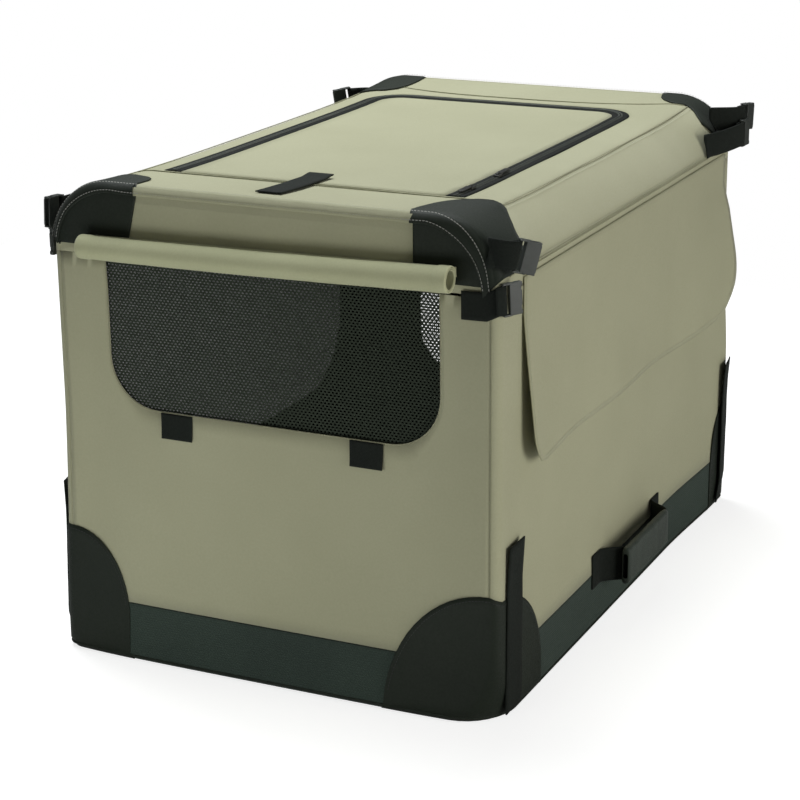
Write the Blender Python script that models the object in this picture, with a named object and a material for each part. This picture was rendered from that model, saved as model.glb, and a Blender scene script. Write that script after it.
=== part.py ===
"""Soft folding dog crate: a cloth cover with mesh windows over a steel tube frame that folds flat.

Metres, +Z up. The front end faces -Y, the long side with the carry handle faces +X, and the crate
stands on Z = 0 with its centre over the origin.
"""
from math import cos, hypot, pi, radians, sin, sqrt

import bmesh
import bpy
from mathutils import Vector

# Driving sizes of the whole crate
WIDTH = 0.640
LENGTH = 0.940
HEIGHT = 0.669

# Clearances, cloth and cuts
GAP = 0.0003
OVERRUN = 0.030
CLOTH = 0.0016
PATCH_CLOTH = 0.0015
WEB_THICK = 0.0018

# Rounding of the cover
TOP_RADIUS = 0.085
END_ROUND = 0.012
ROOF_SAG = 0.010
SKIRT_DROP = 0.098
SKIRT_BOTTOM = HEIGHT - SKIRT_DROP
ARC_STEPS = 7
END_STEPS = 3
SAG_STEPS = 8

# Base tray: a woven band with a floor, rounder towards the ground
BAND_HEIGHT = 0.085
TRAY_WALL = 0.0020
TRAY_FLOOR = 0.0030
TRAY_FOOT_RADIUS = 0.045
TRAY_EDGE = 0.010
CORNER_STEPS = 5

# Steel tube frame
TUBE_RADIUS = 0.0065
TUBE_SIDES = 10
BASE_TUBE_INSET = 0.016
BASE_TUBE_BEND = 0.030
HOOP_INSET = 0.015
RAIL_OVERLAP = 0.006
HOOP_LEG = 0.012
END_FRAME_INSET = 0.033
END_FRAME_SIDE_INSET = 0.037
END_FRAME_X = WIDTH / 2 - END_FRAME_SIDE_INSET
END_FRAME_BEND = 0.055
FRONT_PIVOT_HEIGHT = 0.036
REAR_PIVOT_HEIGHT = 0.054
FRONT_FRAME_DROP = 0.116
REAR_FRAME_DROP = 0.119
FRONT_FRAME_REACH = HEIGHT - FRONT_FRAME_DROP - FRONT_PIVOT_HEIGHT
REAR_FRAME_REACH = HEIGHT - REAR_FRAME_DROP - REAR_PIVOT_HEIGHT
EYE_RADIUS = 0.0095
EYE_WIDTH = 0.014
PIN_RADIUS = 0.0030
PIN_CLEARANCE = 0.0005
PIN_OVERHANG = 0.0025
LUG_THICK = 0.004
LUG_RADIUS = 0.009

# Floor mat
MAT_SIDE_INSET = 0.032
MAT_END_INSET = 0.050
MAT_HALF_WIDTH = WIDTH / 2 - MAT_SIDE_INSET
MAT_HALF_LENGTH = LENGTH / 2 - MAT_END_INSET
MAT_EDGE_THICK = 0.014
MAT_CROWN = 0.010
MAT_PULL_IN = 0.006
MAT_CHANNEL = 0.002

# Corner patches on the roof cover
TOP_PATCH_WIDE_INSET = 0.098
TOP_PATCH_NARROW_INSET = 0.118
TOP_PATCH_END_INSET = 0.135
TOP_PATCH_DROP = 0.086
TOP_PATCH_BOTTOM = HEIGHT - TOP_PATCH_DROP
TOP_PATCH_ROUND = 0.030

# Corner patches on the base
BASE_PATCH_WIDE = 0.150
BASE_PATCH_NARROW = 0.105
BASE_PATCH_HEIGHT = 0.183
BASE_PATCH_FOOT = 0.0012

# Hook straps that close the folded pack
HOOK_STRAP_WIDTH = 0.050
HOOK_STRAP_FROM_END = 0.020
HOOK_STRAP_TOP = 0.242
HOOK_STRAP_FOOT = 0.012
HOOK_STRAP_LEAN = 0.003
HOOK_STRAP_STEPS = 8

# Windows, their mesh and the panels around them
WINDOW_HEAD = 0.007
WINDOW_TOP = SKIRT_BOTTOM - WINDOW_HEAD
WINDOW_BOTTOM = 0.366
WINDOW_RADIUS = 0.070
END_WINDOW_INSET = 0.080
END_WINDOW_HALF = WIDTH / 2 - END_WINDOW_INSET
SIDE_WINDOW_INSET = 0.120
SIDE_WINDOW_HALF = LENGTH / 2 - SIDE_WINDOW_INSET
LEFT_WINDOW_INSET = 0.104
LEFT_WINDOW_HALF = LENGTH / 2 - LEFT_WINDOW_INSET
LOW_WINDOW_BOTTOM = 0.162
MESH_THICK = 0.0010
MESH_MARGIN = 0.008

# Rear door with its zip
DOOR_INSET = 0.078
DOOR_HALF_WIDTH = WIDTH / 2 - DOOR_INSET
DOOR_DROP = 0.121
DOOR_TOP = HEIGHT - DOOR_DROP
DOOR_BOTTOM = 0.126
DOOR_RADIUS = 0.080
DOOR_ZIP_WIDTH = 0.014
REAR_WINDOW_INSET = 0.026
REAR_WINDOW_HALF = DOOR_HALF_WIDTH - REAR_WINDOW_INSET
REAR_WINDOW_DROP = 0.139
REAR_WINDOW_TOP = HEIGHT - REAR_WINDOW_DROP

# Roof door with its zip
ROOF_DOOR_SIDE_INSET = 0.100
ROOF_DOOR_FRONT_INSET = 0.135
ROOF_DOOR_REAR_INSET = 0.130
ROOF_DOOR_HALF = WIDTH / 2 - ROOF_DOOR_SIDE_INSET
ROOF_DOOR_FRONT = LENGTH / 2 - ROOF_DOOR_FRONT_INSET
ROOF_DOOR_REAR = LENGTH / 2 - ROOF_DOOR_REAR_INSET
ROOF_DOOR_RADIUS = 0.060
ROOF_ZIP_WIDTH = 0.026
ZIP_RISE = 0.0008

# Zip sliders with their pulls
SLIDER_LENGTH = 0.014
SLIDER_WIDTH = 0.011
SLIDER_HEIGHT = 0.0055
PULL_LENGTH = 0.030
PULL_WIDTH = 0.010
PULL_THICK = 0.0022
SLIDER_FRONT_INSET = 0.050
SLIDER_REAR_INSET = 0.145
SLIDER_FRONT_Y = ROOF_DOOR_FRONT - SLIDER_FRONT_INSET
SLIDER_REAR_Y = ROOF_DOOR_REAR - SLIDER_REAR_INSET

# Strap tab on the roof front
ROOF_TAB_WIDTH = 0.036
ROOF_TAB_INSET = 0.032
ROOF_TAB_LENGTH = 0.150
ROOF_TAB_FRONT = LENGTH / 2 - ROOF_TAB_INSET
ROOF_TAB_REAR = ROOF_TAB_FRONT - ROOF_TAB_LENGTH
ROOF_TAB_OFFSET = 0.012

# Hook tabs below the front window
FRONT_TAB_X = 0.139
FRONT_TAB_WIDTH = 0.047
FRONT_TAB_BOTTOM = 0.328
FRONT_TAB_TOP = 0.364

# Rolled blinds
ROLL_RADIUS = 0.0175
ROLL_CORE = 0.0120
ROLL_TURNS = 2.25
ROLL_STEPS = 16
ROLL_NECK = 0.004
END_ROLL_DROP = 0.080
END_ROLL_HEIGHT = HEIGHT - END_ROLL_DROP
END_ROLL_INSET = 0.057
END_ROLL_HALF = WIDTH / 2 - END_ROLL_INSET
SIDE_ROLL_DROP = 0.104
SIDE_ROLL_HEIGHT = HEIGHT - SIDE_ROLL_DROP
SIDE_ROLL_INSET = 0.108
SIDE_ROLL_HALF = LENGTH / 2 - SIDE_ROLL_INSET

# Hanging blind on the right side
FLAP_DROP = 0.0885
FLAP_TOP = HEIGHT - FLAP_DROP
FLAP_BOTTOM = 0.330
FLAP_FRONT_INSET = 0.074
FLAP_REAR_INSET = 0.030
FLAP_FRONT = LENGTH / 2 - FLAP_FRONT_INSET
FLAP_REAR = LENGTH / 2 - FLAP_REAR_INSET
FLAP_FRONT_RADIUS = 0.046
FLAP_REAR_RADIUS = 0.080
FLAP_FRONT_STAND = 0.008
FLAP_REAR_STAND = 0.022
FLAP_WAVE = 0.006
FLAP_STRAIGHT = 0.050
FLAP_FOLDS = 2.4
FLAP_FOLD_SHIFT = 0.4
FLAP_FALL_POWER = 1.4
FLAP_COLUMNS = 18
FLAP_ROWS = 10

# Carry handle
HANDLE_CENTRE_Y = 0.012
HANDLE_HALF_SPAN = 0.150
HANDLE_SEWN = 0.030
HANDLE_RISE_LENGTH = 0.038
HANDLE_STAND = 0.040
HANDLE_STRAP_HEIGHT = 0.050
HANDLE_STRAP_BOTTOM = 0.064
GRIP_HALF_LENGTH = 0.074
GRIP_HEIGHT = 0.057
GRIP_THICK = 0.014
GRIP_CLEARANCE = 0.0006
GRIP_ROUND = 0.006

# Corner straps with side release buckle halves
STRAP_WIDTH = 0.036
BUCKLE_HEIGHT = 0.042
BUCKLE_LENGTH = 0.030
BUCKLE_THICK = 0.010
BUCKLE_BAR = 0.0026
BUCKLE_SLOT = 0.0066
BUCKLE_CHEEK = 0.0026
BUCKLE_ROUND = 0.005
BAR_THICK = 0.0026
BAR_LOOP_RADIUS = 0.0032
PRONG_WIDTH = 0.0065
PRONG_LENGTH = 0.016
PRONG_GAP = 0.0042
PRONG_THICK = 0.0060
LOOP_TAIL = 0.012
LOOP_STEPS = 6
ROUTE_STEPS = 9

# Runs of the corner straps: drop from the top, insets of the root from side and end, which end,
# headings in degrees, length, straight run, side of the buckle
END_UPPER = (0.047, 0.018, 0.004, -1, -24, 40, 0.040, 0, 1)
END_LOWER = (0.114, 0.048, -0.0012, -1, 0, 50, 0.022, 0.037, -1)
REAR_RIGHT_UPPER = (0.024, 0.020, 0.098, 1, 35, 78, 0.090, 0, 1)
REAR_RIGHT_LOWER = (0.067, 0.0035, 0.135, 1, 62, 84, 0.118, 0, 1)
FRONT_LEFT_UPPER = (0.047, 0.020, 0.115, 1, 45, 86, 0.094, 0, -1)
FRONT_LEFT_LOWER = (0.091, 0.0035, 0.092, 1, 45, 84, 0.064, 0, -1)

CORNERS = (
    ("front_left", -1, -1),
    ("front_right", 1, -1),
    ("rear_left", -1, 1),
    ("rear_right", 1, 1),
)

MERGE = 0.000001
LIMIT_SHARE = 0.98
RAIL_SHARE = 0.94


# Basic tools

def clear_scene():
    """Remove every object of the open scene."""
    for obj in list(bpy.data.objects):
        bpy.data.objects.remove(obj, do_unlink=True)


def make_material(name, colour, roughness, metallic=0.0):
    """Make a Principled material with a plain colour."""
    mat = bpy.data.materials.new(name)
    mat.use_nodes = True
    shader = mat.node_tree.nodes["Principled BSDF"]
    shader.inputs["Base Color"].default_value = (*colour, 1.0)
    shader.inputs["Roughness"].default_value = roughness
    shader.inputs["Metallic"].default_value = metallic
    return mat


def mesh_object(name, verts, faces, mat):
    """Link a mesh object whose faces point outward."""
    mesh = bpy.data.meshes.new(name)
    mesh.from_pydata([tuple(v) for v in verts], [], faces)
    tidy_mesh(mesh)
    mesh.materials.append(mat)
    obj = bpy.data.objects.new(name, mesh)
    bpy.context.collection.objects.link(obj)
    return obj


def tidy_mesh(mesh):
    """Join doubled points and turn all faces outward."""
    bm = bmesh.new()
    bm.from_mesh(mesh)
    bmesh.ops.remove_doubles(bm, verts=bm.verts, dist=MERGE)
    bmesh.ops.recalc_face_normals(bm, faces=bm.faces)
    bm.to_mesh(mesh)
    bm.free()


def smooth(obj, angle=35.0):
    """Shade a round piece smooth, with its sharp edges kept."""
    obj.data.shade_smooth()
    obj.data.set_sharp_from_angle(angle=radians(angle))
    return obj


def set_origin(obj, point):
    """Move an object's origin to a point, with its shape left in place."""
    offset = Vector(point)
    for vertex in obj.data.vertices:
        vertex.co -= offset
    obj.location = offset
    return obj


def combine(target, other, operation):
    """Apply an exact Boolean to the target and remove the other object."""
    modifier = target.modifiers.new(operation.lower(), "BOOLEAN")
    modifier.operation = operation
    modifier.solver = "EXACT"
    modifier.object = other
    depsgraph = bpy.context.evaluated_depsgraph_get()
    result = bpy.data.meshes.new_from_object(target.evaluated_get(depsgraph))
    target.modifiers.clear()
    target.data = result
    bpy.data.objects.remove(other, do_unlink=True)
    tidy_mesh(result)
    return target


def union(target, other):
    """Fuse another object into the target."""
    return combine(target, other, "UNION")


def subtract(target, other):
    """Cut another object out of the target."""
    return combine(target, other, "DIFFERENCE")


def intersect(target, other):
    """Keep only what the target shares with another object."""
    return combine(target, other, "INTERSECT")


def loft(name, rings, mat, closed=False, split=False):
    """Skin a row of equal rings, with caps, or joined end to start when closed; split makes triangles."""
    count = len(rings[0])
    verts = [point for ring in rings for point in ring]
    faces = []
    last = len(rings) if closed else len(rings) - 1
    for row in range(last):
        low = row * count
        high = ((row + 1) % len(rings)) * count
        for j in range(count):
            k = (j + 1) % count
            if split:
                faces.append((low + j, low + k, high + k))
                faces.append((low + j, high + k, high + j))
            else:
                faces.append((low + j, low + k, high + k, high + j))
    if not closed:
        top = (len(rings) - 1) * count
        faces.append(tuple(range(count)))
        faces.append(tuple(reversed(range(top, top + count))))
    return mesh_object(name, verts, faces, mat)


def arc(centre_u, centre_v, radius, start, end, steps):
    """Points of an arc in a plane, angles in degrees."""
    points = []
    for i in range(steps + 1):
        angle = radians(start + (end - start) * i / steps)
        points.append((centre_u + radius * cos(angle), centre_v + radius * sin(angle)))
    return points


def rounded_outline(low_u, high_u, low_v, high_v, radii, steps=CORNER_STEPS):
    """Outline of a rectangle with its own radius at each corner.

    Radii run counterclockwise from the low corner: low-low, high-low, high-high, low-high.
    """
    limit = min(high_u - low_u, high_v - low_v) / 2
    corners = (
        (low_u, low_v, 1, 1, 180),
        (high_u, low_v, -1, 1, 270),
        (high_u, high_v, -1, -1, 0),
        (low_u, high_v, 1, -1, 90),
    )
    points = []
    for (u, v, du, dv, start), radius in zip(corners, radii):
        if radius <= 0:
            points.append((u, v))
            continue
        r = min(radius, limit * LIMIT_SHARE)
        points += arc(u + du * r, v + dv * r, r, start, start + 90, steps)
    return points


def flat_x(u, v, w):
    """Place a point drawn in the YZ plane at depth X."""
    return (w, u, v)


def flat_y(u, v, w):
    """Place a point drawn in the XZ plane at depth Y."""
    return (u, w, v)


def flat_z(u, v, w):
    """Place a point drawn in the XY plane at height Z."""
    return (u, v, w)


def prism(name, outline, place, low, high, mat):
    """Extrude a closed outline between two depths."""
    rings = [[place(u, v, depth) for u, v in outline] for depth in (low, high)]
    return loft(name, rings, mat)


def path_normals(path):
    """Mitred side vectors of a flat path."""
    normals = []
    for i in range(len(path)):
        before = path[max(i - 1, 0)]
        here = path[i]
        after = path[min(i + 1, len(path) - 1)]
        first = (here[0] - before[0], here[1] - before[1])
        second = (after[0] - here[0], after[1] - here[1])
        if i == 0:
            first = second
        if i == len(path) - 1:
            second = first
        n1 = (-first[1] / hypot(*first), first[0] / hypot(*first))
        n2 = (-second[1] / hypot(*second), second[0] / hypot(*second))
        total = (n1[0] + n2[0], n1[1] + n2[1])
        scale = 2 / (total[0] ** 2 + total[1] ** 2)
        normals.append((total[0] * scale, total[1] * scale))
    return normals


def ribbon(name, path, thickness, low, high, place, mat):
    """Sweep a flat band on its edge along a path drawn in a plane."""
    rings = []
    half = thickness / 2
    for (u, v), (nu, nv) in zip(path, path_normals(path)):
        left = (u + nu * half, v + nv * half)
        right = (u - nu * half, v - nv * half)
        rings.append([place(*left, low), place(*left, high), place(*right, high), place(*right, low)])
    return loft(name, rings, mat)


def tube(name, path, place, depth, radius, mat, closed=False):
    """Sweep a round tube along a path drawn in a plane at one depth."""
    points = path[-1:] + path + path[:1] if closed else path
    normals = path_normals(points)
    rings = []
    for (u, v), (nu, nv) in zip(points, normals):
        ring = []
        for i in range(TUBE_SIDES):
            angle = 2 * pi * (i + 0.5) / TUBE_SIDES
            side = radius * cos(angle)
            ring.append(place(u + nu * side, v + nv * side, depth + radius * sin(angle)))
        rings.append(ring)
    if closed:
        rings = rings[1:-1]
    return loft(name, rings, mat, closed=closed)


def cylinder_x(name, low, high, y, z, radius, sides, mat):
    """A round bar along X."""
    outline = [(y + radius * cos(2 * pi * i / sides), z + radius * sin(2 * pi * i / sides)) for i in range(sides)]
    return prism(name, outline, flat_x, low, high, mat)


def mirror_path(path, sign_u, sign_v):
    """Flip a path about the axes of its plane."""
    return [(u * sign_u, v * sign_v) for u, v in path]


# Cover of the roof, as a solid of the outer shape grown by an offset

def cover_ring(y, inset, sag, offset, bottom):
    """One cross-section of the loaf-shaped cover."""
    half = WIDTH / 2 + offset - inset
    radius = TOP_RADIUS + offset
    rail = HEIGHT - TOP_RADIUS - inset
    rise = radius - sag
    left = arc(0, 0, 1, 180, 90, ARC_STEPS)
    right = arc(0, 0, 1, 90, 0, ARC_STEPS)
    points = [(-half, bottom)]
    points += [(-half + radius + radius * u, rail + rise * v) for u, v in left]
    points += [(half - radius + radius * u, rail + rise * v) for u, v in right]
    points.append((half, bottom))
    return [(x, y, z) for x, z in points]


def cover_rings(offset, bottom):
    """Cross-sections of the cover from front to rear, grown by an offset."""
    end = LENGTH / 2 + offset
    round_radius = END_ROUND + offset
    curve = []
    for i in range(END_STEPS + 1):
        angle = pi / 2 * i / END_STEPS
        curve.append((end - round_radius * (1 - cos(angle)), round_radius * (1 - sin(angle)), 0))
    rings = [(-y, inset, sag) for y, inset, sag in curve]
    rings += [(y, 0, fall) for y, fall in sag_stations()[1:-1]]
    rings += curve[::-1]
    return [cover_ring(y, inset, sag, offset, bottom) for y, inset, sag in rings]


def cover_solid(name, offset, bottom, mat):
    """The whole cover as one solid, grown by an offset, down to a chosen height."""
    return loft(name, cover_rings(offset, bottom), mat, split=True)


def skin(rings, first):
    """Triangles over a row of open rings and their two ends, without the underside."""
    count = len(rings[0])
    faces = []
    for row in range(len(rings) - 1):
        low = first + row * count
        high = low + count
        for j in range(count - 1):
            faces.append((low + j, low + j + 1, high + j + 1))
            faces.append((low + j, high + j + 1, high + j))
    top = first + (len(rings) - 1) * count
    faces.append(tuple(range(first, first + count)))
    faces.append(tuple(reversed(range(top, top + count))))
    return faces


def cover_shell(name, outer_offset, inner_offset, bottom, mat):
    """The cover as a thin shell, open below."""
    outer = cover_rings(outer_offset, bottom)
    inner = cover_rings(inner_offset, bottom)
    verts = [point for ring in outer + inner for point in ring]
    count = len(outer[0])
    depth = len(outer) * count
    faces = skin(outer, 0)
    faces += [tuple(reversed(face)) for face in skin(inner, depth)]
    last = (len(outer) - 1) * count
    left = [row * count for row in range(len(outer))]
    rim = left + [last + count - 1] + [row + count - 1 for row in left[::-1]][1:]
    for a, b in zip(rim, rim[1:] + rim[:1]):
        faces.append((a, b, b + depth, a + depth))
    return mesh_object(name, verts, faces, mat)


def u_outline(half, front, rear, radius):
    """Outline of a doorway with two round corners at its rear."""
    return rounded_outline(-half, half, front, rear, (0, 0, radius, radius))


# Base

def tray_ring(z, offset):
    """Plan outline of the base at a height, rounder near the ground."""
    share = max(0.0, 1 - z / BAND_HEIGHT)
    radius = END_ROUND + (TRAY_FOOT_RADIUS - END_ROUND) * share ** 2 + offset
    depth = max(0.0, TRAY_EDGE - z)
    inset = TRAY_EDGE - sqrt(TRAY_EDGE ** 2 - depth ** 2)
    half_x = WIDTH / 2 + offset - inset
    half_y = LENGTH / 2 + offset - inset
    outline = rounded_outline(-half_x, half_x, -half_y, half_y, (radius,) * 4)
    return [(x, y, z) for x, y in outline]


def tray_heights(low, high):
    """Heights of the rings, close together near the ground."""
    shares = (0, 0.02, 0.06, 0.12, 0.25, 0.45, 0.7, 1)
    return [low + (high - low) * share for share in shares]


def make_base_tray(mats):
    """Woven band and floor in one sewn piece."""
    outer = [tray_ring(z, 0) for z in tray_heights(0, BAND_HEIGHT)]
    inner = [tray_ring(z, -TRAY_WALL) for z in tray_heights(TRAY_FLOOR, BAND_HEIGHT)]
    smooth(loft("base_tray", outer + inner[::-1], mats["band"]))


def make_base_frame(mats):
    """Closed tube loop with four welded hinge lugs and their pins."""
    half_x = WIDTH / 2 - BASE_TUBE_INSET
    half_y = LENGTH / 2 - BASE_TUBE_INSET
    centre_z = TRAY_FLOOR + GAP + TUBE_RADIUS
    outline = rounded_outline(-half_x, half_x, -half_y, half_y, (BASE_TUBE_BEND,) * 4)
    frame = tube("base_frame", outline, flat_z, centre_z, TUBE_RADIUS, mats["steel"], closed=True)
    pivots = ((-1, FRONT_PIVOT_HEIGHT), (1, REAR_PIVOT_HEIGHT))
    for side in (-1, 1):
        for end, pivot_z in pivots:
            union(frame, hinge_lug(side, end, half_y, centre_z, pivot_z, mats["steel"]))
    smooth(frame)


def hinge_lug(side, end, tube_y, tube_z, pivot_z, mat):
    """Plate from the base tube up to a pivot, with the pin that carries an end frame."""
    pivot_y = LENGTH / 2 - END_FRAME_INSET
    inner = END_FRAME_X + EYE_WIDTH / 2 + PIN_CLEARANCE
    lean = hypot(pivot_y - tube_y, pivot_z - tube_z)
    du = (pivot_y - tube_y) / lean
    dv = (pivot_z - tube_z) / lean
    cap = []
    for centre, direction in (((pivot_y, pivot_z), 1), ((tube_y, tube_z), -1)):
        for i in range(7):
            angle = -pi / 2 + pi * i / 6
            along = direction * LUG_RADIUS * cos(angle)
            across = direction * LUG_RADIUS * sin(angle)
            cap.append((centre[0] + du * along - dv * across, centre[1] + dv * along + du * across))
    low, high = sorted((side * inner, side * (inner + LUG_THICK)))
    outline = [(end * u, v) for u, v in cap]
    plate = prism("plate", outline, flat_x, low, high, mat)
    floor = TRAY_FLOOR + GAP
    half_z = (pivot_z + LUG_RADIUS + OVERRUN)
    trim = [(-OVERRUN + end * tube_y, floor - half_z), (OVERRUN + end * tube_y, floor - half_z),
            (OVERRUN + end * tube_y, floor), (-OVERRUN + end * tube_y, floor)]
    subtract(plate, prism("trim", trim, flat_x, low - OVERRUN, high + OVERRUN, mat))
    tip = END_FRAME_X - EYE_WIDTH / 2 - PIN_OVERHANG
    low, high = sorted((side * tip, side * (inner + LUG_THICK / 2)))
    pin = cylinder_x("pin", low, high, end * pivot_y, pivot_z, PIN_RADIUS, 12, mat)
    return union(plate, pin)


def make_end_frame(name, end, pivot_z, reach, mats):
    """Upturned U of tube with an eye at each foot, hinged on the pins of the base frame."""
    pivot_y = end * (LENGTH / 2 - END_FRAME_INSET)
    top = pivot_z + reach
    right = [(END_FRAME_X, pivot_z)] + arc(END_FRAME_X - END_FRAME_BEND, top - END_FRAME_BEND,
                                           END_FRAME_BEND, 0, 90, CORNER_STEPS)
    path = right + mirror_path(right, -1, 1)[::-1]
    frame = tube(name, path, flat_y, pivot_y, TUBE_RADIUS, mats["steel"])
    for side in (-1, 1):
        low, high = sorted((side * (END_FRAME_X - EYE_WIDTH / 2), side * (END_FRAME_X + EYE_WIDTH / 2)))
        union(frame, cylinder_x("eye", low, high, pivot_y, pivot_z, EYE_RADIUS, 16, mats["steel"]))
        hole_radius = PIN_RADIUS + PIN_CLEARANCE
        subtract(frame, cylinder_x("hole", low - OVERRUN, high + OVERRUN, pivot_y, pivot_z,
                                   hole_radius, 12, mats["steel"]))
    set_origin(smooth(frame), (0, pivot_y, pivot_z))


def make_floor_mat(mats):
    """Padded mat with a crown, drawn-in sides and three sewn channels across."""
    columns, rows = 8, 12
    low = TRAY_FLOOR + GAP
    top_points = []
    bottom_points = []
    for j in range(rows + 1):
        for i in range(columns + 1):
            u = -1 + 2 * i / columns
            v = -1 + 2 * j / rows
            edge = (1 - u ** 4) * (1 - v ** 4)
            channel = MAT_CHANNEL if j % 3 == 0 and 0 < j < rows else 0
            x = u * (MAT_HALF_WIDTH - MAT_PULL_IN * (1 - v ** 2) * abs(u))
            y = v * (MAT_HALF_LENGTH - MAT_PULL_IN * (1 - u ** 2) * abs(v))
            top_points.append((x, y, low + MAT_EDGE_THICK + MAT_CROWN * edge - channel))
            bottom_points.append((x, y, low))
    verts = top_points + bottom_points
    width = columns + 1
    count = len(top_points)
    faces = []
    for j in range(rows):
        for i in range(columns):
            a = j * width + i
            faces.append((a, a + 1, a + width + 1, a + width))
            faces.append((a + count, a + width + count, a + width + 1 + count, a + 1 + count))
    rim = [i for i in range(columns)]
    rim += [columns + j * width for j in range(rows)]
    rim += [rows * width + i for i in range(columns, 0, -1)]
    rim += [j * width for j in range(rows, 0, -1)]
    for k in range(len(rim)):
        a, b = rim[k], rim[(k + 1) % len(rim)]
        faces.append((b, a, a + count, b + count))
    smooth(mesh_object("floor_mat", verts, faces, mats["mat"]), 50)


def make_base_patches(mats):
    """Smooth quarter-round patches over the base corners, sewn to band and wall."""
    for name, sx, sy in CORNERS:
        reach = BASE_PATCH_WIDE if sx * sy < 0 else BASE_PATCH_NARROW
        heights = tray_heights(BASE_PATCH_FOOT, BAND_HEIGHT) + [BASE_PATCH_HEIGHT + OVERRUN]
        outer = [tray_ring(z, GAP + PATCH_CLOTH) for z in heights]
        patch = loft("base_patch_" + name, outer, mats["dark_cloth"])
        heights[0] -= OVERRUN / 2
        inner = [tray_ring(max(z, 0), GAP) for z in heights]
        inner[0] = [(x, y, heights[0]) for x, y, _ in inner[0]]
        inner[-1] = [(x, y, heights[-1] + OVERRUN) for x, y, _ in inner[-1]]
        subtract(patch, loft("inside", inner, mats["dark_cloth"]))
        intersect(patch, corner_dome(sx, sy, reach, mats["dark_cloth"]))
        smooth(patch)


def corner_dome(sx, sy, reach, mat):
    """Ellipsoid about a base corner that gives the patch its quarter-round outline."""
    rings = []
    rows, sides = 10, 32
    for row in range(1, rows):
        angle = -pi / 2 + pi * row / rows
        ring = []
        for i in range(sides):
            turn = 2 * pi * i / sides
            x = sx * WIDTH / 2 + reach * cos(angle) * cos(turn)
            y = sy * LENGTH / 2 + reach * cos(angle) * sin(turn)
            ring.append((x, y, BASE_PATCH_HEIGHT * sin(angle)))
        rings.append(ring)
    return loft("dome", rings, mat)


def make_hook_straps(mats):
    """Four upright straps at the base corners, sewn at the foot and free above."""
    for name, sx, sy in CORNERS:
        x = WIDTH / 2 + GAP + PATCH_CLOTH + GAP + WEB_THICK / 2
        height = HOOK_STRAP_TOP - HOOK_STRAP_FOOT
        path = []
        for i in range(HOOK_STRAP_STEPS + 1):
            share = i / HOOK_STRAP_STEPS
            path.append((sx * (x + HOOK_STRAP_LEAN * share ** 3), HOOK_STRAP_FOOT + height * share))
        near = LENGTH / 2 - HOOK_STRAP_FROM_END
        low, high = sorted((sy * near, sy * (near - HOOK_STRAP_WIDTH)))
        strap = ribbon("hook_strap_" + name, path, WEB_THICK, low, high, flat_y, mats["webbing"])
        set_origin(strap, (sx * x, sy * near, HOOK_STRAP_FOOT))


# Roof assembly

def make_roof_frame(mats):
    """Two bent hoops welded to two rails, the frame that carries the roof."""
    rail_x = WIDTH / 2 - CLOTH - GAP - TUBE_RADIUS
    rail_z = HEIGHT - TOP_RADIUS
    hoop_y = LENGTH / 2 - HOOP_INSET
    bend = TOP_RADIUS - CLOTH - GAP - TUBE_RADIUS
    right = [(rail_x, rail_z - HOOP_LEG)] + arc(rail_x - bend, rail_z, bend, 0, 90, ARC_STEPS)
    path = right + mirror_path(right, -1, 1)[::-1]
    frame = tube("roof_frame", path, flat_y, -hoop_y, TUBE_RADIUS, mats["steel"])
    union(frame, rail(rail_x, rail_z, hoop_y, mats["steel"]))
    union(frame, rail(-rail_x, rail_z, hoop_y, mats["steel"]))
    union(frame, tube("rear_hoop", path, flat_y, hoop_y, TUBE_RADIUS, mats["steel"]))
    smooth(frame)


def rail(x, z, half_length, mat):
    """Straight tube between the hoops, let into both."""
    reach = half_length - TUBE_RADIUS + RAIL_OVERLAP
    path = [(-reach, z), (reach, z)]
    return tube("rail", path, flat_x, x, TUBE_RADIUS * RAIL_SHARE, mat)


def make_roof_cover(mats):
    """Roof cover, its zipped door and the zip between them."""
    front = -ROOF_DOOR_FRONT
    rear = ROOF_DOOR_REAR
    low, high = SKIRT_BOTTOM, HEIGHT + OVERRUN
    inner_half = ROOF_DOOR_HALF - ROOF_ZIP_WIDTH
    inner_rear = rear - ROOF_ZIP_WIDTH
    inner_radius = ROOF_DOOR_RADIUS - ROOF_ZIP_WIDTH
    panel = cover_shell("roof_panel", 0, -CLOTH, SKIRT_BOTTOM, mats["sage_cloth"])
    hole = u_outline(ROOF_DOOR_HALF + GAP, front - GAP, rear + GAP, ROOF_DOOR_RADIUS + GAP)
    deck = HEIGHT - TOP_RADIUS
    subtract(panel, prism("doorway", hole, flat_z, deck, high, mats["sage_cloth"]))
    smooth(panel)
    door = cover_shell("roof_door", 0, -CLOTH, SKIRT_BOTTOM, mats["sage_cloth"])
    leaf = u_outline(inner_half - GAP, front, inner_rear - GAP, inner_radius)
    intersect(door, prism("leaf", leaf, flat_z, deck, high, mats["sage_cloth"]))
    set_origin(smooth(door), (0, front, HEIGHT - ROOF_SAG))
    zip_band = cover_shell("roof_zip", ZIP_RISE, -CLOTH, SKIRT_BOTTOM, mats["zip"])
    outer = u_outline(ROOF_DOOR_HALF, front, rear, ROOF_DOOR_RADIUS)
    intersect(zip_band, prism("zip_outer", outer, flat_z, deck, high, mats["zip"]))
    inner = u_outline(inner_half, front - OVERRUN, inner_rear, inner_radius)
    subtract(zip_band, prism("zip_inner", inner, flat_z, low, high, mats["zip"]))
    smooth(zip_band)


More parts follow.
